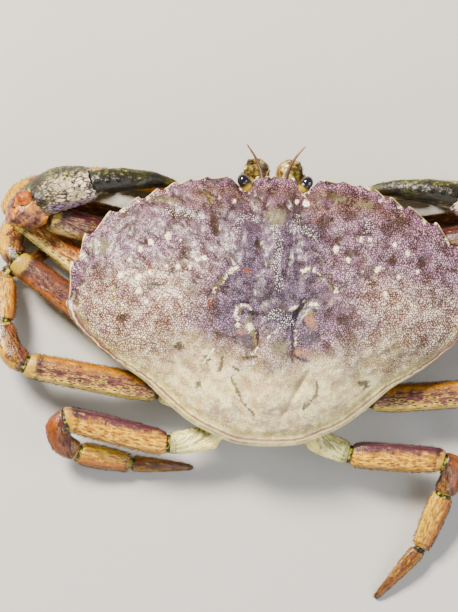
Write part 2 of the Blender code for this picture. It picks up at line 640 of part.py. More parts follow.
def claw(side_name, side, materials):
    """One claw limb: hip, merus, round carpus, palm with the fixed finger, and the moving finger."""
    root, normal = facet(CLAW_FACET, side)
    merus_start, merus_end, knob, spine = on_side([CLAW_MERUS, CLAW_MERUS_END, WRIST_KNOB, WRIST_SPINE], side)
    spine_way, crest = on_side([WRIST_SPINE_WAY, CREST_WAY], side)
    hip_bend = root + normal * (merus_start - root).length * BEND_INTO_HIP
    into = (merus_start - hip_bend).normalized()
    along = (merus_end - merus_start).normalized()
    joint = (into + along).normalized()
    name = f"{side_name}_claw_"
    swept_part(name + "base", [root + normal * GAP / 2, hip_bend, merus_start], CLAW_HIP_SIZES,
               materials["base"], normal, joint)
    merus = swept_part(name + "merus", [merus_start, merus_end], CLAW_MERUS_SIZES, materials["merus"], joint)
    carpus = swept_part(name + "carpus", on_side(WRIST_LINE, side), WRIST_SIZES, materials["carpus"],
                        sides=WRIST_SIDES)
    knob_line = [knob - UP * KNOB_HALF, knob + UP * KNOB_HALF + KNOB_TURN]
    knob_rise = swept_part("knob", knob_line, KNOB_SIZES, materials["carpus"], sides=KNOB_SIDES)
    inner_spine = spike(spine, spine_way, WRIST_SPINE_LENGTH, WRIST_SPINE_FOOT, materials["carpus"])
    fuse(carpus, [knob_rise, inner_spine])
    palm_line = on_side(PALM_LINE, side)
    hand = swept_part(name + "hand", palm_line, PALM_SIZES, materials["hand"], sides=PALM_SIDES,
                      roll=PALM_ROLL * side)
    fixed_line = on_side(FIXED_FINGER, side)
    fixed = swept_part("fixed", fixed_line, FIXED_SIZES, materials["hand"])
    moving_line = on_side(MOVING_FINGER, side)
    finger = swept_part(name + "finger", moving_line, MOVING_SIZES, materials["finger"])
    ornament = spikes_along(palm_line, PALM_SIZES, CREST_SPIKES, crest, materials["hand"], CREST_FOOT)
    bites = [(place, BITE_LENGTH) for place in BITE_TEETH]
    ornament += spikes_along(fixed_line, FIXED_SIZES, bites, UP, materials["hand"], BITE_FOOT)
    fuse(hand, [fixed] + ornament)
    offset = (BITE_TEETH[1] - BITE_TEETH[0]) / 2
    bites = [(place + offset, BITE_LENGTH) for place in BITE_TEETH]
    ornament = spikes_along(moving_line, MOVING_SIZES, bites, -UP, materials["finger"], BITE_FOOT)
    ornament += spikes_along(moving_line, MOVING_SIZES, FINGER_SPIKES, crest, materials["finger"],
                             FINGER_FOOT)
    fuse(finger, ornament)
    cut_clear(hand, [finger, carpus], "MANIFOLD")
    cut_clear(merus, [carpus, hand])


def limb_materials():
    """The colours of a walking leg and of a claw, part by part."""
    leg = {
        "base": named_material("pale_hip_shell", (0.78, 0.72, 0.58), 0.5),
        "merus": named_material("mauve_leg_shell", (0.42, 0.24, 0.2), 0.45),
        "carpus": named_material("brown_wrist_shell", (0.4, 0.22, 0.16), 0.45),
        "propodus": named_material("amber_leg_shell", (0.7, 0.4, 0.1), 0.4),
        "dactyl": named_material("horn_toe_shell", (0.5, 0.26, 0.1), 0.4),
    }
    arm = {
        "base": leg["base"],
        "merus": leg["merus"],
        "carpus": named_material("knobbed_wrist_shell", (0.36, 0.26, 0.18), 0.5),
        "hand": named_material("ridged_palm_shell", (0.62, 0.58, 0.42), 0.5),
        "finger": named_material("pale_finger_shell", (0.56, 0.5, 0.36), 0.45),
    }
    return leg, arm


def build_crab():
    """Every part, from the body outwards."""
    shell = back_shell(named_material("dotted_back_shell", (0.36, 0.27, 0.33), 0.5))
    cream = named_material("cream_belly_shell", (0.8, 0.75, 0.62), 0.5)
    flap_shell = named_material("orange_rimmed_flap", (0.78, 0.66, 0.45), 0.5)
    horn = named_material("feeler_shell", (0.45, 0.25, 0.12), 0.5)
    dark = named_material("eye_glass", (0.02, 0.015, 0.012), 0.1)
    breast = breast_plate(cream)
    flap = tail_flap(cream)
    cut_clear(flap, [shell, breast])
    for side_name, side in SIDES:
        ball = eye(side, f"eye_{side_name}", dark)
        feeler = antenna(side, f"antenna_{side_name}", horn)
        cut_clear(shell, [ball, feeler])
        mouth_flap(side, f"maxilliped_{side_name}", flap_shell)
    leg_materials, claw_materials = limb_materials()
    for side_name, side in SIDES:
        claw(side_name, side, claw_materials)
        for number in LEG_SIZES:
            walking_leg(side_name, side, number, leg_materials)


def stand_on_origin():
    """Moves every mesh so that the origin lies on the floor under the middle of the crab's box."""
    corners = [vert.co for part in crab.objects for vert in part.data.vertices]
    shift = Vector((
        -(min(c.x for c in corners) + max(c.x for c in corners)) / 2,
        -(min(c.y for c in corners) + max(c.y for c in corners)) / 2,
        -min(c.z for c in corners),
    ))
    for part in crab.objects:
        for vert in part.data.vertices:
            vert.co += shift
        part.data.shade_smooth()
        part.data.set_sharp_from_angle(angle=SHARP_ANGLE)


for old in list(bpy.data.objects):
    bpy.data.objects.remove(old)
crab = bpy.data.collections.new("dungeness_crab")
cutters = bpy.data.collections.new("cutters")
bpy.context.scene.collection.children.link(crab)
bpy.context.scene.collection.children.link(cutters)
build_crab()
stand_on_origin()
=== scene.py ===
# %% [markdown]
# # A Dungeness crab, dressed
#
# A crab wears its skeleton outside: hard shell plates that meet at soft joints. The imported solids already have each
# plate's true place and size, so this lesson keeps them as a fixed frame and gives every plate its finish: smoother
# forms, low relief, grains, small bristles, and the colours of the living animal. All lengths are in metres, and
# 1 mm is written as MM.

import math
import random

import bpy
import numpy as np
from mathutils import Matrix, Vector, kdtree, noise
from mathutils.bvhtree import BVHTree


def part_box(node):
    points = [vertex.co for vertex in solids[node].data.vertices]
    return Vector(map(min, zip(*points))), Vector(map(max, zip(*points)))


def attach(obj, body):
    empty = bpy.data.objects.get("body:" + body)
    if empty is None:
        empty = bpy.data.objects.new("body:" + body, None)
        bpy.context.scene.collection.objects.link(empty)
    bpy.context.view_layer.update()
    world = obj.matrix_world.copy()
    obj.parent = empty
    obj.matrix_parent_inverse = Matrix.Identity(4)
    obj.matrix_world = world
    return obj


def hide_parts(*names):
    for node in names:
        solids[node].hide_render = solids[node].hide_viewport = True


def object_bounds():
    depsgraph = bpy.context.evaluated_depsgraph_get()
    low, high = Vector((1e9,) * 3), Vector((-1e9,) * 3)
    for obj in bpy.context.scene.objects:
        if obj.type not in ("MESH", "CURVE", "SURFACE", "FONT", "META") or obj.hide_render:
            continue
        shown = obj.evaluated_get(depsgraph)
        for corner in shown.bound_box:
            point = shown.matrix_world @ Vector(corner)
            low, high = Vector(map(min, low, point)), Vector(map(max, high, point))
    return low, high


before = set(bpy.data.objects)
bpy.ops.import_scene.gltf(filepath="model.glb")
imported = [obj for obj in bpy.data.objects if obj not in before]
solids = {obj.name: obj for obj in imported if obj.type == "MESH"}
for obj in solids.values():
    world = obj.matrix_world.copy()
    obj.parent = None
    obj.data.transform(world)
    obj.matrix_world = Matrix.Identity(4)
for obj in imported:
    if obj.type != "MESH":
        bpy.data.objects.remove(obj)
CAD_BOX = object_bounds()
MM = 0.001
UP = Vector((0, 0, 1))
print(len(solids), "solids,", [round(side / MM, 1) for side in CAD_BOX[1] - CAD_BOX[0]], "mm")

# %% [markdown]
# ## Where the shell's own plan lies
#
# Every mark on the back is placed from the photograph. Its scale was worked out once, from the width of the shell
# between its widest teeth, so a pixel can be turned into millimetres from the middle of the shell. The camera looks
# down a little from the left, so a mark high on the dome shows further right than it lies, and `lift` takes that
# back.

# %% From a pixel of the photograph to a place on the shell
PIXELS_PER_MM = 2.33
PHOTO_MIDDLE = (270.5, 313.0)
PHOTO_TURN = math.radians(1.94)
PHOTO_TILT = math.radians(5.0)
FRONT_TOOTH_Y = 59.8

shell_low, shell_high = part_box("carapace")
PLAN_MIDDLE = Vector(((shell_low.x + shell_high.x) / 2, shell_high.y - FRONT_TOOTH_Y * MM, 0))


def from_photo(px, py, lift=16.0):
    """The place on the shell's plan, in mm, of a pixel whose spot lies `lift` mm above the shell's edge."""
    right = (px - PHOTO_MIDDLE[0]) / PIXELS_PER_MM
    ahead = (PHOTO_MIDDLE[1] - py) / PIXELS_PER_MM
    x = right * math.cos(PHOTO_TURN) - ahead * math.sin(PHOTO_TURN)
    y = right * math.sin(PHOTO_TURN) + ahead * math.cos(PHOTO_TURN)
    return (x - lift * math.tan(PHOTO_TILT), y)


def in_frame(x, y, z):
    """A place given in mm on the shell's plan, as a point of the frame."""
    return PLAN_MIDDLE + Vector((x, y, z)) * MM


print("The shell's plan starts at", [round(v / MM, 1) for v in PLAN_MIDDLE], "mm")

# %% [markdown]
# ## Small tools
#
# Blender's operators act on whatever is selected, so each step first clears the selection and then picks one piece.
# The other tools read and move many points at once, store a number at each point for the materials to read, and
# write colours the way a painter's chart gives them, as hex values. A `Finish` is a material with short calls for
# its nodes: a first colour is laid as the ground, and each further colour is painted over it by a share.

# %% Selecting, reading and storing


def mode(name):
    """Goes into edit mode or back into object mode."""
    bpy.ops.object.mode_set(mode=name)


def deselect():
    """Clears the selection, in object mode."""
    if bpy.context.mode != "OBJECT":
        mode("OBJECT")
    bpy.ops.object.select_all(action="DESELECT")


def only(piece):
    """Selects one piece and nothing else."""
    deselect()
    piece.select_set(True)
    bpy.context.view_layer.objects.active = piece


def placed(name, data):
    """A new object in the scene."""
    piece = bpy.data.objects.new(name, data)
    bpy.context.scene.collection.objects.link(piece)
    return piece


def select(piece, kind, wanted):
    """Selects the faces or the edges for which wanted is true, and goes into edit mode."""
    only(piece)
    mode("EDIT")
    bpy.ops.mesh.select_mode(type=kind)
    bpy.ops.mesh.select_all(action="DESELECT")
    mode("OBJECT")
    (piece.data.edges if kind == "EDGE" else piece.data.polygons).foreach_set("select", np.asarray(wanted, bool))
    mode("EDIT")


def smooth(piece):
    """Shades a piece smooth."""
    only(piece)
    bpy.ops.object.shade_smooth()


def points_of(piece, what="co"):
    """The points of a piece, or their normals, as rows of three numbers."""
    rows = np.empty(len(piece.data.vertices) * 3, np.float32)
    piece.data.vertices.foreach_get(what, rows)
    return rows.reshape(-1, 3).astype(float)


def put_points(piece, rows):
    """Moves a piece's points to new places."""
    piece.data.vertices.foreach_set("co", np.asarray(rows, np.float32).ravel())
    piece.data.update()


def swell(piece, heights):
    """Moves each point along its normal, by a height in mm."""
    put_points(piece, points_of(piece) + points_of(piece, "normal") * (heights * MM)[:, None])


def store(piece, name, values):
    """Keeps one number for each point, or one for all, which a material reads by its name."""
    layer = piece.data.attributes.new(name, "FLOAT", "POINT")
    layer.data.foreach_set("value", np.broadcast_to(values, len(piece.data.vertices)).astype(np.float32))


def apply_modifier(piece, kind, **settings):
    """Adds one modifier and applies it."""
    only(piece)
    modifier = piece.modifiers.new(kind.title(), kind)
    for key, value in settings.items():
        setattr(modifier, key, value)
    bpy.ops.object.modifier_apply(modifier=modifier.name)


def smoothstep(low, high, value):
    """0 below low, 1 above high, and a soft step between."""
    share = np.clip((value - low) / (high - low), 0, 1)
    return share * share * (3 - 2 * share)


def cloudy(rows, size, octaves=3):
    """Soft random numbers round 0 at points, the same in each run. One cloud is about `size` mm across."""
    return np.array([noise.fractal(Vector(row) / (size * MM), 0.8, 2.1, octaves) for row in rows])


# %% Colours and nodes


def linear(code, alpha=1.0):
    """An sRGB hex colour as the linear numbers that a shader takes."""
    channels = [int(code[i : i + 2], 16) / 255 for i in (1, 3, 5)]
    return tuple(c / 12.92 if c <= 0.04045 else ((c + 0.055) / 1.055) ** 2.4 for c in channels) + (alpha,)


class Finish:
    """A material for crab shell, which is chitin hardened with lime, and the calls that draw its patterns."""

    def __init__(self, name, roughness, ior=1.56, coat=0.0, coat_roughness=0.2):
        self.material = bpy.data.materials.new(name)
        self.material.use_nodes = True
        self.tree = self.material.node_tree
        self.shader = self.tree.nodes["Principled BSDF"]
        for socket, value in (("Roughness", roughness), ("IOR", ior), ("Specular IOR Level", 0.35),
                              ("Coat Weight", coat), ("Coat Roughness", coat_roughness)):
            self.shader.inputs[socket].default_value = value
        self.place = self.add("TexCoord", out="Object")

    def add(self, kind, inputs=None, stops=(), out=0, **settings):
        """Adds one node with its settings, colour stops, values and links, and gives one of its outputs."""
        node = self.tree.nodes.new("ShaderNode" + kind)
        for key, value in settings.items():
            setattr(node, key, value)
        for _ in stops[2:]:
            node.color_ramp.elements.new(0.5)
        for k, (place, code) in enumerate(stops):
            node.color_ramp.elements[k].position = place
            node.color_ramp.elements[k].color = linear(code)
        for key, value in (inputs or {}).items():
            if isinstance(value, bpy.types.NodeSocket):
                self.tree.links.new(value, node.inputs[key])
            else:
                node.inputs[key].default_value = linear(value) if isinstance(value, str) else value
        return node.outputs[out]

    def share(self, name):
        """A number that is stored at the points."""
        return self.add("Attribute", out="Fac", attribute_name=name)

    def math(self, operation, *values):
        return self.add("Math", dict(enumerate(values)), operation=operation)

    def step(self, value, low, high, top=1.0, bottom=0.0):
        """A soft step from bottom, where the value is low, to top, where it is high."""
        return self.add("MapRange", {0: value, 1: low, 2: high, 3: bottom, 4: top}, interpolation_type="SMOOTHSTEP")

    def over(self, share, low, high):
        return self.add("Mix", {0: share, 6: low, 7: high}, out=2, data_type="RGBA")

    def ramp(self, value, stops):
        return self.add("ValToRGB", {0: value}, stops)

    def noise(self, size, detail, roughness=0.5, distortion=0.0, at=None):
        """Clouds about `size` mm across."""
        return self.add("TexNoise", {"Vector": at or self.place, "Scale": 1 / (size * MM), "Detail": detail,
                                     "Roughness": roughness, "Distortion": distortion})

    def cells(self, size, at=None, randomness=1.0, **settings):
        """The distance to the nearest of many spots, one in each `size` mm."""
        return self.add("TexVoronoi", {"Vector": at or self.place, "Scale": 1 / (size * MM),
                                       "Randomness": randomness}, **settings)

    def ground(self, colour):
        """Lays the first colour."""
        self.top = colour
        self.tree.links.new(colour, self.shader.inputs["Base Color"])

    def paint(self, share, colour):
        """Paints a colour over all that was laid before."""
        self.ground(self.over(share, self.top, colour))

    def bump(self, height, strength, distance, invert=False):
        """Raises the surface in the light, by a distance in mm."""
        raised = self.add("Bump", {"Height": height, "Strength": strength, "Distance": distance * MM}, invert=invert)
        self.tree.links.new(raised, self.shader.inputs["Normal"])


print("Tools are ready")

# %% [markdown]
# ## The limbs' joints
#
# A leg is a chain of plates. Where two plates meet, the solids stop in one plane with a hair's gap, so the joint's
# middle can be measured: it is the middle of all points of both that lie close together. Knowing the joints, every
# point of a plate gets two numbers, how far along the plate it lies and how far towards the leg's front edge. The
# colours of a crab's leg follow exactly these two directions.

# %% Measure the joints
SEGMENTS = ("base", "merus", "carpus", "propodus", "dactyl")
CLAW_SEGMENTS = ("base", "merus", "carpus", "hand")
SIDES = ("left", "right")
CLOSE = 1.6 * MM


def distinct(name):
    """A solid's points, each once."""
    return np.unique(np.round(points_of(solids[name]), 6), axis=0)


def meeting(first, second):
    """The middle, the normal and the radius of the ring where two solids meet."""
    a, b = distinct(first), distinct(second)
    gaps = np.linalg.norm(a[:, None] - b[None], axis=2)
    ring = np.vstack((a[gaps.min(axis=1) < CLOSE], b[gaps.min(axis=0) < CLOSE]))
    middle = ring.mean(axis=0)
    normal = np.linalg.svd(ring - middle)[2][2]
    return {"middle": middle, "normal": normal, "radius": float(np.linalg.norm(ring - middle, axis=1).mean())}


def root_of(name):
    """The ring at a hip's inner end, which stands against the breast plate."""
    rows = distinct(name)
    nearest = np.argsort(np.linalg.norm(rows[:, :2] - np.array(PLAN_MIDDLE[:2]), axis=1))[:8]
    return {"middle": rows[nearest].mean(axis=0), "radius": 0.0}


def tip_of(name, start):
    """The point of a solid that lies furthest from its start."""
    rows = distinct(name)
    return {"middle": rows[np.argmax(np.linalg.norm(rows - start, axis=1))], "radius": 0.0}


limbs = {}
for side in SIDES:
    for limb, segments in [(f"{side}_claw", CLAW_SEGMENTS)] + [(f"{side}_leg{n}", SEGMENTS) for n in (1, 2, 3, 4)]:
        names = [f"{limb}_{segment}" for segment in segments]
        joints = [meeting(a, b) for a, b in zip(names, names[1:])]
        ends = [root_of(names[0])] + joints + [tip_of(names[-1], joints[-1]["middle"])]
        limbs[limb] = {"names": names, "joints": joints, "ends": ends, "side": side, "segments": segments}

# %% [markdown]
# ## From a solid to a finished plate
#
# A plate of the render starts as a copy of its solid. The copy's loose triangles are merged and turned back into
# four-sided faces, its sharp rims get a crease, and Subdivision Surface then rounds everything in between. Modelling
# each plate again from a cylinder would give the same shape with more guessing. The rims are drawn back from the
# joints, because real plates leave room there for soft skin.

# %% Refine a copy
DRAW_BACK = 0.75 * MM
RIM_ANGLE = math.radians(48)


def copy_of(solid, name):
    """A merged copy of a solid in four-sided faces."""
    piece = placed(name, solids[solid].data.copy())
    piece.data.materials.clear()
    only(piece)
    bpy.ops.mesh.customdata_custom_splitnormals_clear()
    mode("EDIT")
    bpy.ops.mesh.select_all(action="SELECT")
    bpy.ops.mesh.remove_doubles(threshold=0.02 * MM)
    bpy.ops.mesh.mark_sharp(clear=True)
    bpy.ops.mesh.tris_convert_to_quads(face_threshold=math.radians(35), shape_threshold=math.radians(50))
    mode("OBJECT")
    return piece


def draw_back(piece, joint, inwards):
    """Moves the rim at a joint a little into its own plate."""
    rows = points_of(piece)
    off = rows - joint["middle"]
    rim = (np.abs(off @ joint["normal"]) < 0.6 * MM) & (np.linalg.norm(off, axis=1) < joint["radius"] * 1.7)
    rows[rim] += inwards / np.linalg.norm(inwards) * DRAW_BACK
    put_points(piece, rows)


def crease_rims(piece, crease):
    """Creases the sharp edges, which keeps them through the rounding."""
    only(piece)
    mode("EDIT")
    bpy.ops.mesh.select_mode(type="EDGE")
    bpy.ops.mesh.select_all(action="DESELECT")
    bpy.ops.mesh.edges_select_sharp(sharpness=RIM_ANGLE)
    bpy.ops.transform.edge_crease(value=crease)
    bpy.ops.mesh.select_mode(type="VERT")
    mode("OBJECT")


def rounded(piece, levels):
    """Rounds a piece by subdivision and shades it smooth."""
    apply_modifier(piece, "SUBSURF", levels=levels, render_levels=levels)
    smooth(piece)


def finished(piece, finish, record_slot, *replaced):
    """Gives a piece its finish and hides the solids that it stands for. The record slot is not used."""
    piece.data.materials.append(finish.material)
    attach(piece, "root")
    if replaced:
        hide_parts(*replaced)
    return piece


print("Plates can be refined")

# %% [markdown]
# ## The camera, the floor and the light
#
# The photograph looks almost straight down. The crab lies turned by about two degrees, and the middle of the picture
# is not the middle of the crab, so the camera looks at the point of the plan that the middle pixel shows. A long
# lens keeps the outline as it is measured. Three soft lamps stand in for a studio: the key is small enough to draw
# the shell's low relief.

# %% Camera
PICTURE = (458, 612)
LOOK_HEIGHT = 34 * MM
CAMERA_DISTANCE = 1.7
aim = from_photo(PICTURE[0] / 2, PICTURE[1] / 2, lift=0.0)
target = in_frame(aim[0], aim[1], 0) + UP * LOOK_HEIGHT
tall = PICTURE[1] / PIXELS_PER_MM * MM

camera_data = bpy.data.cameras.new("overhead_camera")
camera_data.sensor_fit = "VERTICAL"
camera_data.sensor_height = 24
camera_data.lens = 24 * CAMERA_DISTANCE / tall
camera_data.clip_start = 0.05
camera = placed("overhead_camera", camera_data)
camera.matrix_world = (
    Matrix.Translation(target)
    @ Matrix.Rotation(PHOTO_TURN, 4, "Z")
    @ Matrix.Rotation(-PHOTO_TILT, 4, "Y")
    @ Matrix.Translation((0, 0, CAMERA_DISTANCE))
)
bpy.context.scene.camera = camera
print("Lens", round(camera_data.lens), "mm")

# %% Floor
deselect()
bpy.ops.mesh.primitive_plane_add(size=6, location=(0, 0, -0.0002))
floor = bpy.context.object
floor.name = "studio_floor"
bpy.ops.object.transform_apply(location=True, rotation=True, scale=True)
ink = Finish("matt_studio_paper", 0.9, ior=1.45)
fibre = ink.add("TexNoise", {"Vector": ink.place, "Scale": 400.0, "Detail": 3.0})
ink.ground(ink.over(fibre, "#A9A8A5", "#AFAEAB"))
floor.data.materials.append(ink.material)

# %% Light
for name, place, size, power, tint in (
    ("key_light", (-0.8, 0.85, 1.15), 0.42, 125.0, "#FFF4E4"),
    ("fill_light", (1.2, -0.3, 1.1), 1.2, 24.0, "#F4F6FF"),
    ("rear_light", (0.1, -1.4, 0.9), 1.0, 20.0, "#FFFFFF"),
):
    lamp_data = bpy.data.lights.new(name, "AREA")
    lamp_data.size = size
    lamp_data.energy = power
    lamp_data.color = linear(tint)[:3]
    lamp = placed(name, lamp_data)
    lamp.matrix_world = Matrix.Translation(place) @ (-Vector(place)).to_track_quat("-Z", "Y").to_matrix().to_4x4()
world = bpy.data.worlds.new("pale_studio")
world.use_nodes = True
world.node_tree.nodes["Background"].inputs["Color"].default_value = linear("#F2EFEA")
world.node_tree.nodes["Background"].inputs["Strength"].default_value = 0.15
bpy.context.scene.world = world

# %% [markdown]
# ## The back shell: its form
#
# The back shell is one hard plate. Over its low dome lie soft swellings, one for each organ below, parted by shallow
# grooves, and the whole plate is covered in fine grains. The copy is subdivided once flat, which keeps the saw teeth
# sharp, then once rounded, and its upper side once more, so that the relief below has points to move.

# %% Subdivide the dome
UPPER_FACE = 0.12

back = copy_of("carapace", "back_shell")
mode("EDIT")
bpy.ops.mesh.select_all(action="SELECT")
bpy.ops.mesh.subdivide(number_cuts=1, smoothness=0)
mode("OBJECT")
apply_modifier(back, "SUBSURF", levels=1, render_levels=1)


def plan_of(rows):
    """The places of points on the shell's plan, in mm."""
    return (rows[:, 0] - PLAN_MIDDLE.x) / MM, (rows[:, 1] - PLAN_MIDDLE.y) / MM


facing = np.empty(len(back.data.polygons) * 3, np.float32)
back.data.polygons.foreach_get("normal", facing)
select(back, "FACE", facing.reshape(-1, 3)[:, 2] > UPPER_FACE)
bpy.ops.mesh.subdivide(number_cuts=1, smoothness=1.0)
bpy.ops.mesh.select_mode(type="VERT")
mode("OBJECT")

# %% How far each point lies from the shell's edge
SECTORS = 720
TURN_MIDDLE_Y = -2.0
TOOTH_SECTORS = 9


def edge_of(rows):
    """How far inside the shell's edge each point lies, and how far the edge juts out there, both in mm."""
    x, y = plan_of(rows)
    turn = (np.arctan2(x, y - TURN_MIDDLE_Y) / (2 * np.pi)) % 1.0
    reach = np.hypot(x, y - TURN_MIDDLE_Y)
    sector = (turn * SECTORS).astype(int) % SECTORS
    furthest = np.zeros(SECTORS)
    np.maximum.at(furthest, sector, reach)
    edge = np.max([np.roll(furthest, shift) for shift in (-1, 0, 1)], axis=0)
    even = np.mean([np.roll(edge, shift) for shift in range(-TOOTH_SECTORS, TOOTH_SECTORS + 1)], axis=0)
    return edge[sector] - reach, (edge - even)[sector]


rows = points_of(back)
x, y = plan_of(rows)
from_edge, juts = edge_of(rows)
facing_up = points_of(back, "normal")[:, 2]
upper = smoothstep(0.05, 0.3, facing_up) * smoothstep(0.2, 2.0, from_edge)
print(len(back.data.polygons), "faces on the back shell")

# %% [markdown]
# Now the relief. Each swelling is a low plateau with soft sides, given by its middle, its half sizes and its height,
# all in millimetres on the plan, and mirrored because a crab's two halves are nearly alike. The pale warts are where
# the photograph shows them, each with its own size. Curved grooves part the heart region from the gill regions, and
# a raised line follows the rear edge.

# %% Swellings, grooves and warts
WART_SEED = 5
LOBES = [
    ((0, -15), (6.0, 10.5), 1.1), ((0, -37), (6.5, 7.5), 0.6), ((0, 0.5), (8.5, 5.0), 0.6), ((0, 14),
        (8.5, 8.0), 0.9),
    ((0, 35), (4.5, 13.0), 0.6), ((14, 28), (8.5, 13.0), 1.0), ((8, 49), (5.0, 4.5), 0.5), ((33, 37),
        (8.5, 7.5), 0.9),
    ((27, 17), (11.0, 6.5), 0.8), ((48, 24), (10.0, 8.0), 0.8), ((52, 42), (9.0, 5.5), 0.5),
    ((37, 3), (15.0, 7.5), 0.7), ((65, 12), (11.0, 9.0), 0.8), ((29, -17), (13.0, 9.5), 0.7),
    ((54, -8), (13.0, 8.0), 0.6), ((22, -38), (12.0, 8.0), 0.4),
]
GROOVES = [
    ([(12.5, 4.0), (9.0, -2.0), (8.4, -8.0), (9.6, -14.0), (9.0, -20.0)], 1.6, 1.3),
    ([(12.5, 4.0), (20.0, 9.5), (30.0, 12.5), (40.0, 16.0), (50.0, 30.0)], 2.0, 0.8),
    ([(9.5, 10.0), (10.0, 20.0), (7.0, 32.0), (5.0, 46.0)], 1.6, 0.6),
    ([(15.5, -25.0), (11.5, -32.0), (6.5, -42.0)], 1.1, 0.8),
]
DIMPLE_DEPTH = 0.45
LOBE_SHARE = 1.35
WART_HEIGHT = 0.6
REAR_EDGE_HEIGHT, REAR_GUTTER_DEPTH = 0.6, 0.35
BUMP_HEIGHT, REAR_BUMP_HEIGHT = 0.65, 0.25
WARTS = [from_photo(*spot) for spot in (
    (152, 243), (169, 237), (181, 241), (142, 250), (131, 261), (167, 267), (178, 267), (189, 267), (197, 260),
    (204, 259), (123, 276), (140, 278), (151, 273), (140, 291), (165, 295), (146, 302), (181, 297), (360, 241),
    (370, 241), (395, 245), (408, 254), (347, 261), (361, 272), (377, 270), (335, 250), (398, 278), (418, 272),
    (384, 294), (236, 202), (308, 204), (298, 203),
)]
DIMPLES = [
    (215, 220, 6, 9), (216, 231, 5, 5), (327, 223, 6, 10), (186, 253, 7, 9), (144, 243, 5, 4), (148, 231, 5, 3),
    (126, 215, 7, 4), (172, 272, 5, 5), (154, 286, 9, 6), (401, 221, 9, 5), (338, 241, 5, 5), (125, 317, 7, 6),
    (94, 269, 4, 3), (84, 283, 4, 4), (77, 304, 5, 4), (116, 288, 3, 5), (366, 384, 9, 4), (200, 384, 3, 4),
    (178, 346, 6, 5), (208, 357, 5, 5), (268, 207, 4, 5), (283, 207, 5, 4), (390, 262, 7, 8), (372, 285, 8, 5),
    (181, 214, 17, 6), (196, 281, 5, 4), (352, 253, 8, 5), (425, 262, 6, 7), (258, 246, 4, 9), (341, 320, 8, 7),
]


def plateau(x, y, place, half, height):
    """A low plateau with soft sides on the plan."""
    out = np.hypot((x - place[0]) / half[0], (y - place[1]) / half[1])
    return height * (1 - smoothstep(0.45, 1.15, out))


def away(x, y, line):
    """The distance from each point to a bent line on the plan."""
    nearest = np.full(len(x), 1e9)
    for (ax, ay), (bx, by) in zip(line, line[1:]):
        dx, dy = bx - ax, by - ay
        share = np.clip(((x - ax) * dx + (y - ay) * dy) / (dx * dx + dy * dy), 0, 1)
        nearest = np.minimum(nearest, np.hypot(x - ax - share * dx, y - ay - share * dy))
    return nearest


sway = cloudy(rows, 11) * 1.6
swayed_x, swayed_y = np.abs(x) + sway, y + np.roll(sway, 1)
relief = sum(plateau(swayed_x, swayed_y, *lobe) + plateau(-swayed_x, swayed_y, *lobe) * (lobe[0][0] > 0)
             for lobe in LOBES)
for line, width, depth in GROOVES:
    relief -= depth * np.exp(-((away(np.abs(x), y, line) / width) ** 2))
chance = random.Random(WART_SEED)
warts = np.zeros(len(x))
for wart_x, wart_y in WARTS:
    spread = chance.uniform(0.5, 0.95)
    long = chance.uniform(0.8, 1.5)
    out = np.hypot((x - wart_x) / spread, (y - wart_y) / (spread * long))
    warts = np.maximum(warts, chance.uniform(0.7, 1.0) * np.exp(-(out ** 2) / 2))
rear_edge = smoothstep(6.0, -6.0, y) * np.exp(-(((from_edge - 2.4) / 0.8) ** 2))
rear_gutter = smoothstep(6.0, -6.0, y) * np.exp(-(((from_edge - 4.6) / 1.2) ** 2))
bumps = cloudy(rows, 4.2, 2)
smooth_rear = smoothstep(-6.0, -26.0, y)
relief = (LOBE_SHARE * relief + WART_HEIGHT * warts + REAR_EDGE_HEIGHT * rear_edge - REAR_GUTTER_DEPTH * rear_gutter
          + (BUMP_HEIGHT + (REAR_BUMP_HEIGHT - BUMP_HEIGHT) * smooth_rear) * bumps)
for px, py, half_x, half_y in DIMPLES:
    dimple_x, dimple_y = from_photo(px, py)
    out = np.hypot((x - dimple_x) / half_x, (y - dimple_y) / half_y) * PIXELS_PER_MM
    relief -= DIMPLE_DEPTH * np.exp(-(out ** 2))
swell(back, relief * upper)
smooth(back)
print("Relief from", round(relief.min(), 2), "to", round(relief.max(), 2), "mm")
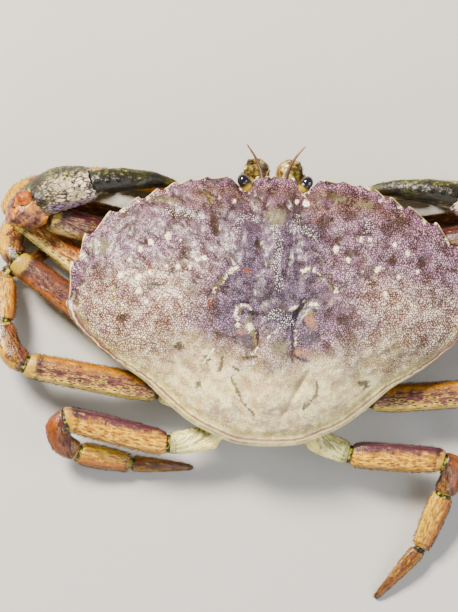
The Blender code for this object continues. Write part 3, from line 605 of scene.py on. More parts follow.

# %% [markdown]
# ## The back shell: its markings
#
# The colours change with the place on the shell: mauve and purple in front and along the middle, pinkish cream over
# the gills, clean cream at the rear. On top lie small marks of their own: white warts, cream and olive strokes beside
# the heart region, and brown spots in the dimples, which are partly the shell's own brown and partly painted shade.
# Each area and each kind of mark is a soft share stored at the points, with edges that waver, because no line on a
# shell is straight. The fine net of pits, about a millimetre wide, is too fine for points, so grains of their own and
# the material draw it.

# %% Shares of each colour area
STROKES = {
    "pale": [
        (0.9, [(233, 316), (236, 307), (243, 305), (248, 308)]), (0.9, [(236, 318), (236, 327)]),
        (1.4, [(245, 319), (249, 329)]), (0.8, [(255, 347), (254, 353), (242, 355)]),
        (0.9, [(288, 309), (296, 307), (303, 302)]), (0.9, [(303, 305), (310, 304), (317, 307)]),
        (0.6, [(295, 331), (294, 342), (296, 349)]), (0.5, [(266, 338), (270, 332), (278, 331), (284, 336)]),
        (1.1, [(228, 273), (236, 269)]), (0.6, [(212, 292), (219, 284), (226, 276)]), (1.0, [(301, 272), (307, 269)]),
        (0.8, [(312, 270), (319, 278), (324, 283)]), (0.6, [(326, 286), (336, 292)]),
        (0.5, [(109, 209), (120, 215)]), (0.6, [(135, 196), (141, 202)]), (0.6, [(153, 187), (157, 195)]),
        (0.7, [(205, 360), (214, 348)]), (0.7, [(333, 372), (345, 366)]),
    ],
    "peach": [(2.4, [(306, 318), (311, 326)]), (1.6, [(296, 352), (308, 353)]), (1.1, [(237, 331), (242, 333)])],
    "grey": [(2.4, [(302, 338), (315, 338)]), (2.2, [(237, 338), (246, 337)]), (1.6, [(245, 345), (251, 348)])],
    "yellow": [
        (0.9, [(214, 287), (220, 281)]), (0.8, [(327, 286), (333, 289)]), (0.9, [(250, 331), (252, 341)]),
        (0.9, [(302, 311), (306, 314), (313, 311)]), (0.7, [(114, 297), (114, 304)]), (0.7, [(116, 285), (116, 290)]),
        (0.7, [(209, 195), (213, 202)]), (0.7, [(239, 310), (241, 313)]),
    ],
    "dark": [
        (1.4, [(249, 312), (254, 314)]), (0.9, [(255, 332), (256, 347)]), (0.8, [(242, 357), (255, 357)]),
        (1.0, [(298, 308), (297, 313)]), (1.0, [(311, 311), (315, 310)]), (0.9, [(296, 357), (307, 361)]),
        (0.9, [(210, 290), (208, 298)]), (0.7, [(233, 336), (236, 342)]), (0.8, [(239, 302), (247, 303)]),
        (1.2, [(240, 311), (242, 313)]),
    ],
    "olive": [
        (0.8, [(231, 376), (237, 389), (244, 401), (254, 414)]), (0.8, [(317, 381), (316, 394), (304, 408)]),
        (1.0, [(223, 356), (219, 370)]), (1.0, [(208, 318), (217, 334)]), (0.8, [(233, 366), (238, 371)]),
        (1.3, [(160, 197), (169, 200)]), (1.4, [(207, 192), (212, 201)]), (1.1, [(330, 196), (342, 197)]),
    ],
}
# The brown spots sit in the dimples of the relief: partly the shell's own brown, partly painted shade.
STAINS_AND_DIMPLE_SHADE = {
    "brown": DIMPLES,
    "lichen": [
        (276, 219, 12, 11), (166, 201, 14, 4), (342, 198, 9, 4), (104, 246, 16, 9), (368, 205, 12, 5),
        (246, 324, 6, 7), (278, 346, 11, 9),
    ],
    "orange": [(246, 271, 4, 3), (151, 268, 2, 3), (209, 303, 3, 3), (314, 222, 3, 4)],
}
STARRY_LINES = [
    [(254, 220), (243, 217), (236, 230), (229, 246), (227, 253)],
    [(276, 232), (277, 254), (274, 274), (277, 286)],
    [(299, 221), (292, 228), (303, 230), (315, 238)],
    [(166, 214), (186, 212), (200, 219)],
    [(366, 222), (372, 226), (366, 231)],
    [(264, 318), (277, 314), (288, 322), (276, 328)],
]

NOTCH_REACH = 4.5
EYE_SOCKET = (12.0, 55.0)

waver = cloudy(rows, 6) * 1.3
fine_waver = cloudy(rows, 2.2, 2) * 0.8
wavy_x, wavy_y = x + fine_waver, y + np.roll(fine_waver, 3)
areas = {}
for name, lines in STROKES.items():
    share = np.zeros(len(x))
    for width, line in lines:
        nearest = away(wavy_x, wavy_y, [from_photo(*spot) for spot in line])
        share = np.maximum(share, 1 - smoothstep(width * 0.35, width * 1.25, nearest))
    areas[name] = share
wavy_x, wavy_y = x + waver + fine_waver, y + np.roll(waver, 3) + fine_waver
for name, spots in STAINS_AND_DIMPLE_SHADE.items():
    share = np.zeros(len(x))
    for px, py, half_x, half_y in spots:
        spot_x, spot_y = from_photo(px, py)
        out = np.hypot((wavy_x - spot_x) / half_x, (wavy_y - spot_y) / half_y) * PIXELS_PER_MM
        share = np.maximum(share, 1 - smoothstep(0.3, 1.5, out))
    areas[name] = share
starry = np.min([away(x, y, [from_photo(*spot) for spot in line]) for line in STARRY_LINES], axis=0)
areas["starry"] = 1 - smoothstep(1.2, 4.4, starry + waver)
wobble = cloudy(rows, 16) * 8.0
left_turn = smoothstep(10.0, -60.0, x) * 5.0
areas["rear"] = smoothstep(-8.0, -34.0, y + wobble + 3.0 * np.cos(x / 14.0))
areas["gills"] = smoothstep(26.0, 52.0, np.abs(x) + wobble + left_turn * 0.5) * smoothstep(
    34.0, 14.0, y + 0.2 * np.abs(x) - left_turn)
areas["front"] = smoothstep(38.0, 53.0, y + wobble * 0.6 + 0.09 * np.abs(x))
areas["core"] = smoothstep(30.0, 12.0, np.abs(x + 3.0) + wobble) * smoothstep(-16.0, -4.0, y + wobble * 0.5)
broken = np.clip(0.75 + 1.2 * cloudy(rows, 2.6, 2), 0.1, 1.0)
tips = smoothstep(0.45, 1.0, juts) * smoothstep(1.5, 0.5, from_edge)
notches = 0.8 * smoothstep(-0.5, -1.0, juts) * smoothstep(NOTCH_REACH, 1.0, from_edge + fine_waver)
toothed = smoothstep(0.0, 8.0, y) * broken
pale_marks = [areas["pale"] * broken, warts * 2.4 - 0.3, tips * toothed, notches * toothed]
areas["pale"] = np.clip(np.max(pale_marks, axis=0), 0, 1)
# Painted shade: the shell's rim in the eye notches, where the eyes fold in, is darkened almost to black.
sockets = np.hypot(np.abs(x) - EYE_SOCKET[0], y - EYE_SOCKET[1])
areas["dark"] = np.maximum(areas["dark"], smoothstep(7.0, 4.5, sockets) * smoothstep(2.2, 0.9, from_edge))
areas["bumps"] = smoothstep(-0.28, 0.34, bumps)
areas["from_edge"] = from_edge
areas["rear_side"] = smoothstep(8.0, -6.0, y)
areas["under"] = smoothstep(0.0, -0.25, facing_up)
areas["teeth"] = smoothstep(-6.0, 6.0, y) * smoothstep(7.0, 2.0, from_edge + waver)
for name, share in areas.items():
    store(back, name, share)
print("Markings are stored on", len(x), "points")

# %% [markdown]
# Living shell is lime-hardened chitin under a thin, slightly greasy skin: satin, neither dull nor glossy. Its colour
# is read from the shares above, once for the ground between the grains, which is dark, and once for the grains,
# which are pale. One function paints both from their own tones, so ground and grains always carry the same marks.

# %% Paint of the shell, in ground tones or grain tones
GROUND_TONES = {
    "middle": ("#322323", "#55415A"), "core": ("#231923", "#4B3C50"), "gills": ("#50372F", "#82695F"),
    "rear": ("#B9A073", "#E6D796"), "front": ("#28140F", "#553737"), "teeth": ("#1E0F19", "#50324B"),
    "under": ("#645A32", "#AFA04B"),
}
GRAIN_TONES = {
    "middle": ("#6E505A", "#C8A5AA"), "core": ("#504650", "#8C7891"), "gills": ("#B9967D", "#FFF5D2"),
    "rear": ("#E6D296", "#FFFFE6"), "front": ("#503737", "#96735F"), "teeth": ("#64465A", "#C896A0"),
    "under": ("#AFA05A", "#EBDC7D"),
}
# The brown mark is partly the shell's own brown and partly painted shade in the dimples.
MARK_CODES = {
    "lichen": ("#6E6946", 0.7), "brown": ("#2D1E0F", 0.85), "grey": ("#37373C", 0.7), "peach": ("#9B6E50", 0.75),
    "orange": ("#7D3700", 0.8), "olive": ("#3C320A", 0.8), "yellow": ("#6E6A00", 0.85), "dark": ("#120A04", 0.85),
    "pale": ("#FFF5C8", 0.85),
}
AREA_CLOUD = (0.4, 0.6)
# For each cloudy patch its colour, its width in mm, its offset in m, where it starts and is full, and its strength.
PATCHES = [("#64465F", 9.0, 0.1, 0.5, 0.62, 0.45), ("#3C280F", 4.5, 0.2, 0.57, 0.68, 0.55),
           ("#E6CDB4", 4.5, 0.3, 0.58, 0.72, 0.25)]


def shell_paint(ink, tones, ragged):
    """Paints the back shell's stored areas and marks. `ragged` frays the marks' edges."""
    tone_at = ink.math("ADD", ink.math("MULTIPLY_ADD", ink.share("bumps"), 0.14, -0.07), ink.noise(6, 7, 0.68, 0.5))
    stops = {name: list(zip(AREA_CLOUD, pair)) for name, pair in tones.items()}
    ink.ground(ink.ramp(tone_at, stops["middle"]))
    for name in list(tones)[1:]:
        ink.paint(ink.share(name), ink.ramp(tone_at, stops[name]))
    for code, width, offset, low, high, strength in PATCHES:
        spot = ink.add("VectorMath", {0: ink.place, 1: (offset, offset, 0.0)}, operation="ADD")
        ink.paint(ink.step(ink.noise(width, 6, 0.7, 0.6, at=spot), low, high, strength), code)
    fray = ink.add("MapRange", {0: ragged, 1: 0.36, 2: 0.64, 4: 0.75})
    for name, (code, strength) in MARK_CODES.items():
        ink.paint(ink.step(ink.math("ADD", ink.share(name), fray), 0.7, 1.2, strength), code)


# %% Finish: the ground between the grains
PIT_PITCH = 0.85
# For each line along the rear edge its colour, its distance and its width in mm, and its strength.
RIM_LINES = [("#8C870A", 5.0, 1.8, 0.45), ("#642D2D", 2.9, 0.45, 0.75), ("#FFF591", 1.9, 0.7, 0.8)]

ink = Finish("pitted_back_chitin", 0.34)
ragged = ink.noise(1.3, 4, 0.7)
shell_paint(ink, GROUND_TONES, ragged)
pits = ink.cells(PIT_PITCH)
pit = ink.step(pits, 0.5, 0.25, 0.8)
ink.paint(ink.math("MULTIPLY", pit, ink.add("MapRange", {0: ink.share("rear"), 3: 1.0, 4: 0.3})), "#2D190F")
from_rim = ink.share("from_edge")
rear_side = ink.share("rear_side")
ink.paint(ink.step(from_rim, 0.7, 0.15, 0.75), "#D7C87D")
for code, line_at, line_width, strength in RIM_LINES:
    off_line = ink.math("ABSOLUTE", ink.math("SUBTRACT", from_rim, line_at))
    off_line = ink.math("ADD", off_line, ink.math("MULTIPLY_ADD", ragged, line_width, -line_width * 0.5))
    ink.paint(ink.math("MULTIPLY", ink.step(off_line, line_width, line_width * 0.4, strength), rear_side), code)
ink.bump(ink.step(pits, 0.0, 0.5), 0.45, 0.25)
finished(back, ink, "back_shell", "carapace")

# %% [markdown]
# ## The grains
#
# A Dungeness crab's back looks dotted because it is covered in blunt grains with dark pits between them. One grain
# is modelled, a small ball of twenty faces, and thousands of copies of it are set half sunk into the dome, on a grid
# that each one leaves a little. They are joined in four pieces. Bump alone would look the same from far away, but
# here the form itself is in the mesh. Each grain takes the colour shares of the shell under it.

# %% Copies joined to one mesh
PATCH = 0.003


def joined_copies(name, pattern, frames, places, spots):
    """One mesh of many copies of a small piece. Its OFBake map holds a patch round each copy's spot on the skin."""
    rows = points_of(pattern)
    faces = np.array([list(face.vertices) for face in pattern.data.polygons])
    points = (np.einsum("vi,nij->nvj", rows, frames) + places[:, None]).reshape(-1, 3)
    corners = (faces[None] + np.arange(len(places))[:, None, None] * len(rows)).reshape(-1, faces.shape[1])
    mesh = bpy.data.meshes.new(name)
    mesh.from_pydata(points.tolist(), [], corners.tolist())
    spread = np.stack((rows[:, 0], rows[:, 2]), axis=1)
    spread = (spread - spread.min(axis=0)) / np.ptp(spread, axis=0) - 0.5
    flat = (spots[:, None] + spread[None] * PATCH).reshape(-1, 2)
    layer = mesh.uv_layers.new(name="OFBake")
    layer.data.foreach_set("uv", flat[corners.ravel()].astype(np.float32).ravel())
    piece = placed(name, mesh)
    smooth(piece)
    return piece


def frames_along(axes, leans, sizes):
    """For each copy three rows: its x, y and z sides, turned so that z follows the axis and x the lean."""
    z = axes / np.linalg.norm(axes, axis=1)[:, None]
    x = leans - z * np.sum(leans * z, axis=1)[:, None]
    x /= np.linalg.norm(x, axis=1)[:, None]
    return np.stack((x, np.cross(z, x), z), axis=1) * sizes[:, :, None]


def surface_of(piece):
    """A piece's surface, for rays to hit, and its points, to find the nearest one."""
    surface = BVHTree.FromPolygons([vert.co for vert in piece.data.vertices],
                                   [face.vertices for face in piece.data.polygons])
    lookup = kdtree.KDTree(len(piece.data.vertices))
    for index, vert in enumerate(piece.data.vertices):
        lookup.insert(vert.co, index)
    lookup.balance()
    return surface, lookup


# %% Set the grains on the dome
GRAIN_SEED = 11
GRAIN_PITCH = 0.96
GRAIN_WIDTH = 0.37
GRAIN_HEIGHT = 0.17
GRAIN_STRAY = 0.32
GRID_HALF = (91, 62)

deselect()
bpy.ops.mesh.primitive_ico_sphere_add(subdivisions=1, radius=1.0)
grain = bpy.context.object
grain.name = "grain_pattern"

chance = random.Random(GRAIN_SEED)
surface, lookup = surface_of(back)

feet, normals, owners = [], [], []
step_y = GRAIN_PITCH * math.sqrt(3) / 2
for row_number in range(round(-GRID_HALF[1] / step_y), round(GRID_HALF[1] / step_y)):
    for column in range(round(-GRID_HALF[0] / GRAIN_PITCH), round(GRID_HALF[0] / GRAIN_PITCH)):
        spot_x = (column + 0.5 * (row_number % 2)) * GRAIN_PITCH + chance.uniform(-GRAIN_STRAY, GRAIN_STRAY)
        spot_y = row_number * step_y + chance.uniform(-GRAIN_STRAY, GRAIN_STRAY)
        foot, normal, _, _ = surface.ray_cast(in_frame(spot_x, spot_y, 90), -UP)
        if foot is None or normal.z < 0.25:
            continue
        feet.append(foot)
        normals.append(normal)
        owners.append(lookup.find(foot)[1])
feet, normals, owners = np.array(feet), np.array(normals), np.array(owners)
print(len(feet), "grains fit on the dome")

# %% Join them in four quarters
FRONT_FROM = 14
MAP_SPAN = 210.0

share = {name: values[owners] for name, values in areas.items()}
kept = (share["from_edge"] > 1.0) & ~((share["rear_side"] > 0.5) & (share["from_edge"] < 4.2))
calm = np.max([share["rear"], share["lichen"] * 0.8, share["grey"], share["peach"], share["core"] * 0.3], axis=0)
width = GRAIN_WIDTH * MM * (1 - 0.3 * np.maximum(calm, share["starry"])) * np.array(
    [chance.uniform(0.6, 1.15) for _ in feet])
height = GRAIN_HEIGHT * MM * (1 - 0.6 * calm) * (1 + 0.9 * share["starry"])
frames = frames_along(normals, np.tile((1.0, 0.1, 0.0), (len(feet), 1)), np.stack((width, width, height), axis=1))
x, y = plan_of(feet)
drop = (feet[:, 2].max() - feet[:, 2]) / MM
unrolled = np.hypot(np.hypot(x, y), drop) / np.maximum(np.hypot(x, y), 1e-6)
spots = np.stack((x * unrolled, y * unrolled), axis=1) / MAP_SPAN + 0.5

ink = Finish("pale_grain_chitin", 0.32)
ragged = ink.noise(1.3, 4, 0.7)
shell_paint(ink, GRAIN_TONES, ragged)
ink.paint(ink.step(ink.math("MULTIPLY", ink.share("starry"), ragged), 0.36, 0.52, 0.85), "#FFFFF5")
ink.bump(ragged, 0.2, 0.1)
for name in ("left_front_grains", "right_front_grains", "left_rear_grains", "right_rear_grains"):
    chosen = kept & ((x < 0) == ("left" in name)) & ((y > FRONT_FROM) == ("front" in name))
    grains = joined_copies(name, grain, frames[chosen], feet[chosen], spots[chosen])
    for area, values in share.items():
        store(grains, area, np.repeat(values[chosen], len(grain.data.vertices)))
    finished(grains, ink, "back_shell")
    print(name, len(grains.data.polygons), "faces")

# %% [markdown]
# ## Leg shell
#
# From above, a leg shows an amber front edge, a mauve body set with rows of dark hair pits, and a cream rear edge.
# Where a plate ends at a joint it has a pale collar with a dark line before it, and underneath all of it is paler.
# The pairs differ, so one function makes their finishes from their own tones. The pits are drawn as short dashes
# along the limb, which is why each point also stores its place on the limb's own unrolled skin.

# %% Finish: banded shell of the limbs
DASH_PITCH = 1.2
LIMB_NUMBERS = ("along", "forward", "beneath", "along_skin", "round_skin")


def leg_finish(name, front_code, body_codes, rear_code, collar_code, pits, roughness):
    """Shell whose colours run from a limb's front edge over its body to its rear edge, with collars at its ends."""
    ink = Finish(name, roughness)
    along, forward, beneath, along_skin, round_skin = (ink.share(number) for number in LIMB_NUMBERS)
    cloud = ink.noise(6, 6, 0.68, 0.7)
    skin = ink.add("CombineXYZ", {0: along_skin, 1: round_skin})
    drawn_out = ink.add("Mapping", {"Vector": skin, "Scale": (0.28, 1.0, 1.0)})
    streak = ink.noise(1.3, 4, 0.7, at=drawn_out)
    shift = ink.math("MULTIPLY_ADD", streak, 0.7, ink.math("MULTIPLY_ADD", cloud, 1.7, -0.85))
    across = ink.math("ADD", forward, shift)
    ink.ground(ink.ramp(streak, [(0.4, body_codes[0]), (0.6, body_codes[1])]))
    front = ink.step(across, 0.55, 0.95)
    ink.paint(front, front_code)
    ink.paint(ink.step(across, -0.1, -0.45), rear_code)
    ink.paint(ink.step(ink.math("MULTIPLY_ADD", beneath, cloud, 0.15), 0.3, 0.6, 0.85), "#B49632")
    dashes = ink.cells(DASH_PITCH, at=drawn_out)
    halo = ink.step(dashes, 0.5, 0.3, 0.6 * pits)
    dash = ink.step(dashes, 0.33, 0.18, pits)
    hairy = ink.step(across, 0.85, 0.35)
    halo = ink.math("MULTIPLY", halo, hairy)
    dash = ink.math("MULTIPLY", dash, hairy)
    ink.paint(halo, rear_code)
    ink.paint(dash, "#0A0500")
    ink.paint(ink.step(ink.math("ABSOLUTE", ink.math("ADD", streak, -0.46)), 0.022, 0.004, 0.7), "#1E0F05")
    ink.paint(ink.step(streak, 0.6, 0.7, 0.6), "#CDB43C")
    end = ink.math("MULTIPLY_ADD", streak, 0.05, along)
    dark_band = ink.ramp(end, [(0.0, "#FFFFFF"), (0.05, "#000000"), (0.885, "#000000"), (0.925, "#E0E0E0"),
        (0.95, "#000000")])
    ink.paint(dark_band, "#140A05")
    ink.paint(ink.step(end, 0.94, 0.965, 0.7), collar_code)
    ink.bump(ink.math("ADD", ink.step(ink.cells(0.85), 0.6, 0.0), ink.step(dashes, 0.05, 0.25)), 0.45, 0.22)
    return ink


hip_finish = leg_finish("pale_hip_chitin", "#9B8C50", ("#828228", "#F0E6AA"), "#FFF08C", "#5F5A19", 0.5, 0.36)
wrist_shell = leg_finish("brown_wrist_chitin", "#733700", ("#280F0F", "#5F372D"), "#B48705", "#A58C14", 0.9, 0.34)
amber_shell = leg_finish("amber_leg_chitin", "#8C5000", ("#6E3C05", "#C8960F"), "#C8A01E", "#644105", 0.5, 0.4)
horn_shell = leg_finish("horn_toe_chitin", "#785000", ("#371E0A", "#6E3C00"), "#7D5500", "#140A00", 0.35, 0.38)
merus_finishes = {
    "claw": leg_finish("rosy_claw_arm_chitin", "#411419", ("#1E0A0F", "#552D37"), "#B4965A", "#A0872D", 0.8, 0.4),
    "leg1": leg_finish("amber_first_leg_chitin", "#8C4600", ("#64280F", "#A06423"), "#FFE178", "#D2AF32", 0.9, 0.4),
    "leg2": leg_finish("mauve_second_leg_chitin", "#5A2D19", ("#321919", "#643C37"), "#8C4B05", "#A58714", 0.9, 0.42),
    "leg3": leg_finish("mauve_third_leg_chitin", "#966000", ("#37191E", "#6E4137"), "#D2AF3C", "#AF8C1E", 1.0, 0.38),
    "leg4": leg_finish("peach_rear_leg_chitin", "#46232D", ("#874B05", "#D7A51E"), "#AA7800", "#A0780A", 0.8, 0.38),
}
segment_finishes = {
    "base": (hip_finish, "leg_hip_shell"), "merus": (None, "leg_shell"), "carpus": (wrist_shell, "leg_wrist_shell"),
    "propodus": (amber_shell, "leg_amber_shell"), "dactyl": (horn_shell, "toe_shell"),
}
print([finish.material.name for finish in merus_finishes.values()])

# %% [markdown]
# ## The legs
#
# Each plate is refined, its rims drawn back from its joints, and its numbers are stored. "Forward" turns with the
# leg: it always points to the side of the plate that would be in front if the leg were stretched out sideways. Two
# blunt ridges run along the upper side of each plate, as on the real one, with a rough, uneven surface between.

# %% Dress a limb's plates
RIDGE_TURNS = (-0.85, 0.85)
RIDGE_HEIGHT = 0.4
PLATE_BUMPS = 0.3


def sides_of(start, end, side):
    """A plate's way from joint to joint, its length, its way to the front and its way up."""
    axis = np.array(end["middle"]) - np.array(start["middle"])
    length = np.linalg.norm(axis)
    axis /= length
    sign = 1 if side == "left" else -1
    front_way = np.cross(axis, (0, 0, 1)) * sign
    front_way /= np.linalg.norm(front_way)
    return axis, length, front_way, np.cross(front_way, axis) * sign


def limb_numbers(piece, start, end, side):
    """Stores each point's place along, round and across its plate, and keeps them for the bristles."""
    rows = points_of(piece)
    axis, length, front_way, over = sides_of(start, end, side)
    near = np.sqrt(np.maximum(np.sum((rows - start["middle"]) ** 2, axis=1) - start["radius"] ** 2, 0))
    far = np.sqrt(np.maximum(np.sum((rows - end["middle"]) ** 2, axis=1) - end["radius"] ** 2, 0))
    off = rows - start["middle"] - np.outer((rows - start["middle"]) @ axis, axis)
    reach, rise = off @ front_way, off @ over
    turn = np.arctan2(reach, rise)
    return {
        "along": near / (near + far + 1e-9),
        "forward": reach / max(np.abs(reach).max(), 1e-6),
        "beneath": smoothstep(-0.2, -0.8, points_of(piece, "normal")[:, 2]),
        "along_skin": near / (near + far + 1e-9) * length,
        "round_skin": turn * np.abs(reach).max() * 0.9,
        "turn": turn,
    }


def dress_plate(name, start, end, joints, side, levels=2, crease=0.55, ridges=RIDGE_HEIGHT):
    """Refines one plate between its two joints."""
    piece = copy_of(name, name + "_plate")
    for joint in joints:
        middle = (start["middle"] + end["middle"]) / 2
        draw_back(piece, joint, middle - joint["middle"])
    crease_rims(piece, crease)
    rounded(piece, levels)
    numbers = limb_numbers(piece, start, end, side)
    ridge = sum(np.exp(-(((numbers["turn"] - turn) / 0.22) ** 2)) for turn in RIDGE_TURNS)
    ends = smoothstep(0.0, 0.15, numbers["along"]) * smoothstep(1.0, 0.88, numbers["along"])
    swell(piece, (ridges * ridge + PLATE_BUMPS * cloudy(points_of(piece), 2.6, 2)) * ends)
    for number in LIMB_NUMBERS:
        store(piece, number, numbers[number])
    return piece, numbers


plates = {}
for limb, parts in limbs.items():
    if "claw" in limb:
        continue
    for k, segment in enumerate(SEGMENTS):
        near = parts["joints"][max(k - 1, 0) : k + 1]
        name = parts["names"][k]
        plate, numbers = dress_plate(name, parts["ends"][k], parts["ends"][k + 1], near, parts["side"],
                                     ridges=0.1 if segment == "base" else RIDGE_HEIGHT)
        finish, record_slot = segment_finishes[segment]
        finished(plate, finish or merus_finishes[limb[-4:]], record_slot, name)
        plates[name] = (plate, numbers, parts["ends"][k], parts["ends"][k + 1])
print(len(plates), "plates dress eight legs")

# %% [markdown]
# ## Soft skin in the joints
#
# Between two plates lies a band of soft, folded skin, dark olive with yellow. One band is modelled: an open cylinder
# is cut into rings, and every second ring is drawn in to make the folds. Copies of it, each with its own mesh, are
# turned to their joint's own plane and scaled to its ring.

# %% Model one joint skin
FOLDS = 5


def cut_into_rings(piece, rings):
    """Cuts the long edges of an upright cylinder, which parts its side into rings of faces."""
    height = points_of(piece)[:, 2]
    ends = np.array([edge.vertices[:] for edge in piece.data.edges])
    select(piece, "EDGE", np.abs(height[ends[:, 0]] - height[ends[:, 1]]) > 0.5)
    bpy.ops.mesh.subdivide(number_cuts=rings - 1, smoothness=0)
    bpy.ops.mesh.select_mode(type="VERT")
    mode("OBJECT")


deselect()
bpy.ops.mesh.primitive_cylinder_add(vertices=20, radius=1.0, depth=2.0, end_fill_type="NGON", location=(0, 0, 0))
skin_pattern = bpy.context.object
skin_pattern.name = "joint_skin_pattern"
cut_into_rings(skin_pattern, FOLDS * 2)
for vert in skin_pattern.data.vertices:
    ring = round((vert.co.z + 1) * FOLDS)
    reach = 0.86 + 0.1 * math.cos(vert.co.z * math.pi / 2) + (0.05 if ring % 2 else -0.05)
    vert.co.x *= reach
    vert.co.y *= reach
rounded(skin_pattern, 1)

ink = Finish("soft_joint_skin", 0.36, ior=1.45)
cloud = ink.noise(1.8, 4)
ink.ground(ink.ramp(cloud, [(0.36, "#050500"), (0.47, "#1E1905"), (0.55, "#46460A"), (0.66, "#96961E")]))
ink.bump(cloud, 0.5, 0.3)

# %% Copy it to every joint
SKIN_HALF = 2.6 * MM
SKIN_SHARE = 0.9
for limb, parts in limbs.items():
    skins = []
    for k, joint in enumerate(parts["joints"]):
        mesh = skin_pattern.data.copy()
        turn_to = UP.rotation_difference(Vector(joint["normal"])).to_matrix().to_4x4()
        radius = joint["radius"] * SKIN_SHARE
        mesh.transform(Matrix.Translation(joint["middle"]) @ turn_to @ Matrix.Diagonal((radius, radius, SKIN_HALF,
            1)))
        skins.append(placed(f"{parts['names'][k]}_joint_skin", mesh))
    only(skins[0])
    for skin in skins:
        skin.select_set(True)
    bpy.ops.object.join()
    joined = bpy.context.object
    joined.name = limb + "_joint_skin"
    finished(joined, ink, "leg_wrist_shell")
bpy.data.objects.remove(skin_pattern)
print("Joint skins are in")

# %% [markdown]
# ## The claws
#
# The claw's palm is whitish, drawn over with thin dark scratches that fan out from the wrist, and tinted yellow-green
# at both ends. Its inner ridge is lilac. Towards the fingers the hand turns almost black, and the fingers are dark
# olive and end pale; this darkness is partly the shell's own olive and partly painted shade. Rows of grains run along
# the palm.
# The wrist carries a glossy orange knob, which is the brightest thing on the whole animal.

# %% Finish: scratched palm and dark fingers


def claw_finish(name, tones, scratch, strength, tip_code):
    """Rough claw shell whose tones follow each other from wrist to finger tip, with thin scratches over them."""
    ink = Finish(name, 0.44)
    along, forward, beneath, along_skin, round_skin = (ink.share(number) for number in LIMB_NUMBERS)
    lilac = ink.share("lilac")
    cloud = ink.noise(5, 6, 0.7, 1.0)
    ink.ground(ink.ramp(ink.math("ADD", ink.math("MULTIPLY_ADD", cloud, 0.8, -0.4), along), tones))
    ink.paint(ink.step(ink.math("MULTIPLY_ADD", lilac, cloud, 0.1), 0.3, 0.6, 0.9), "#7D5A7D")
    fleck = ink.ramp(ink.noise(1.6, 4, 0.7), [(0.42, "#0F0F05"), (0.54, "#32320A"), (0.62, "#8C8C1E")])
    outward = ink.step(ink.math("MULTIPLY_ADD", cloud, 1.2, ink.math("ABSOLUTE", forward)), 1.15, 1.35, 0.95)
    ink.paint(outward, fleck)
    skin = ink.add("CombineXYZ", {0: along_skin, 1: round_skin})
    warp = ink.add("TexNoise", {"Vector": skin, "Scale": 1 / (3 * MM), "Detail": 2.0}, out=1)
    skin = ink.add("Mix", {0: 0.0012, 6: skin, 7: warp}, out=2, data_type="RGBA", blend_type="ADD")
    skin = ink.add("Mapping", {"Vector": skin, "Rotation": (0, 0, 0.6), "Scale": (0.4, 1.0, 1.0)})
    line = ink.step(ink.cells(1.3, at=skin, feature="DISTANCE_TO_EDGE"), 0.19, 0.06, strength)
    ink.paint(ink.math("MULTIPLY", line, ink.step(cloud, 0.38, 0.5)), scratch)
    ink.paint(ink.step(beneath, 0.3, 0.9, 0.8), "#D7C87D")
    ink.paint(ink.step(along, 0.9, 0.98), tip_code)
    ink.bump(ink.step(ink.cells(0.9), 0.6, 0.0), 0.5, 0.3)
    return ink


# Towards the fingers the palm's tones turn almost black: partly the shell's own dark olive, partly painted shade.
palm_finish = claw_finish("scratched_palm_chitin", [
    (0.0, "#1E140A"), (0.06, "#46460F"), (0.1, "#96876E"), (0.2, "#AA9B78"), (0.38, "#D2BEAF"), (0.46, "#A08C82"),
    (0.52, "#55551E"), (0.6, "#0F0F05"), (0.85, "#28230F")], "#0A0500", 0.95, "#EBD296")
# The finger's near-black tones are partly its own dark olive and partly painted shade.
finger_finish = claw_finish("olive_finger_chitin", [
    (0.0, "#0A0A00"), (0.3, "#191405"), (0.44, "#32320A"), (0.52, "#0F0A05"), (0.75, "#231E0A"), (0.95, "#55501E")],
    "#000000", 0.6, "#F0DCA0")

# %% Finish: the wrist with its orange knob
wrist_finish = ink = Finish("knobbed_wrist_chitin", 0.36)
knob = ink.share("knob")
spine = ink.share("spine")
cloud = ink.noise(5, 6, 0.7, 0.8)
ink.ground(ink.ramp(cloud, [(0.36, "#1E0F05"), (0.44, "#55281E"), (0.5, "#784B37"), (0.56, "#A05F0A"),
    (0.68, "#C89619")]))
ink.paint(ink.step(ink.cells(2.4), 0.3, 0.15, 0.8), "#0A0500")
ink.paint(spine, "#AF6E1E")
ink.paint(knob, ink.ramp(cloud, [(0.4, "#6E2D00"), (0.6, "#A55A00")]))
ink.bump(ink.cells(0.9), ink.step(knob, 0.3, 0.8, 0.05, 0.5), 0.3, invert=True)

# %% Dress the claws
GRAIN_ROWS = (-1.35, -0.85, -0.35, 0.15, 0.65, 1.15)
GRAIN_STEP = 2.1 * MM
PALM_GRAINS = 0.45
KNOB_REACH = 3.7 * MM
LILAC_TURN = 0.55


def grain_rows(numbers, rows_at, step):
    """The height of rows of grains along a plate, from 0 between them to 1 on top of each."""
    beat = 0.5 + 0.5 * np.cos(numbers["along_skin"] / step * 2 * np.pi)
    return sum(np.exp(-(((numbers["turn"] - turn) / 0.13) ** 2)) for turn in rows_at) * beat ** 1.5


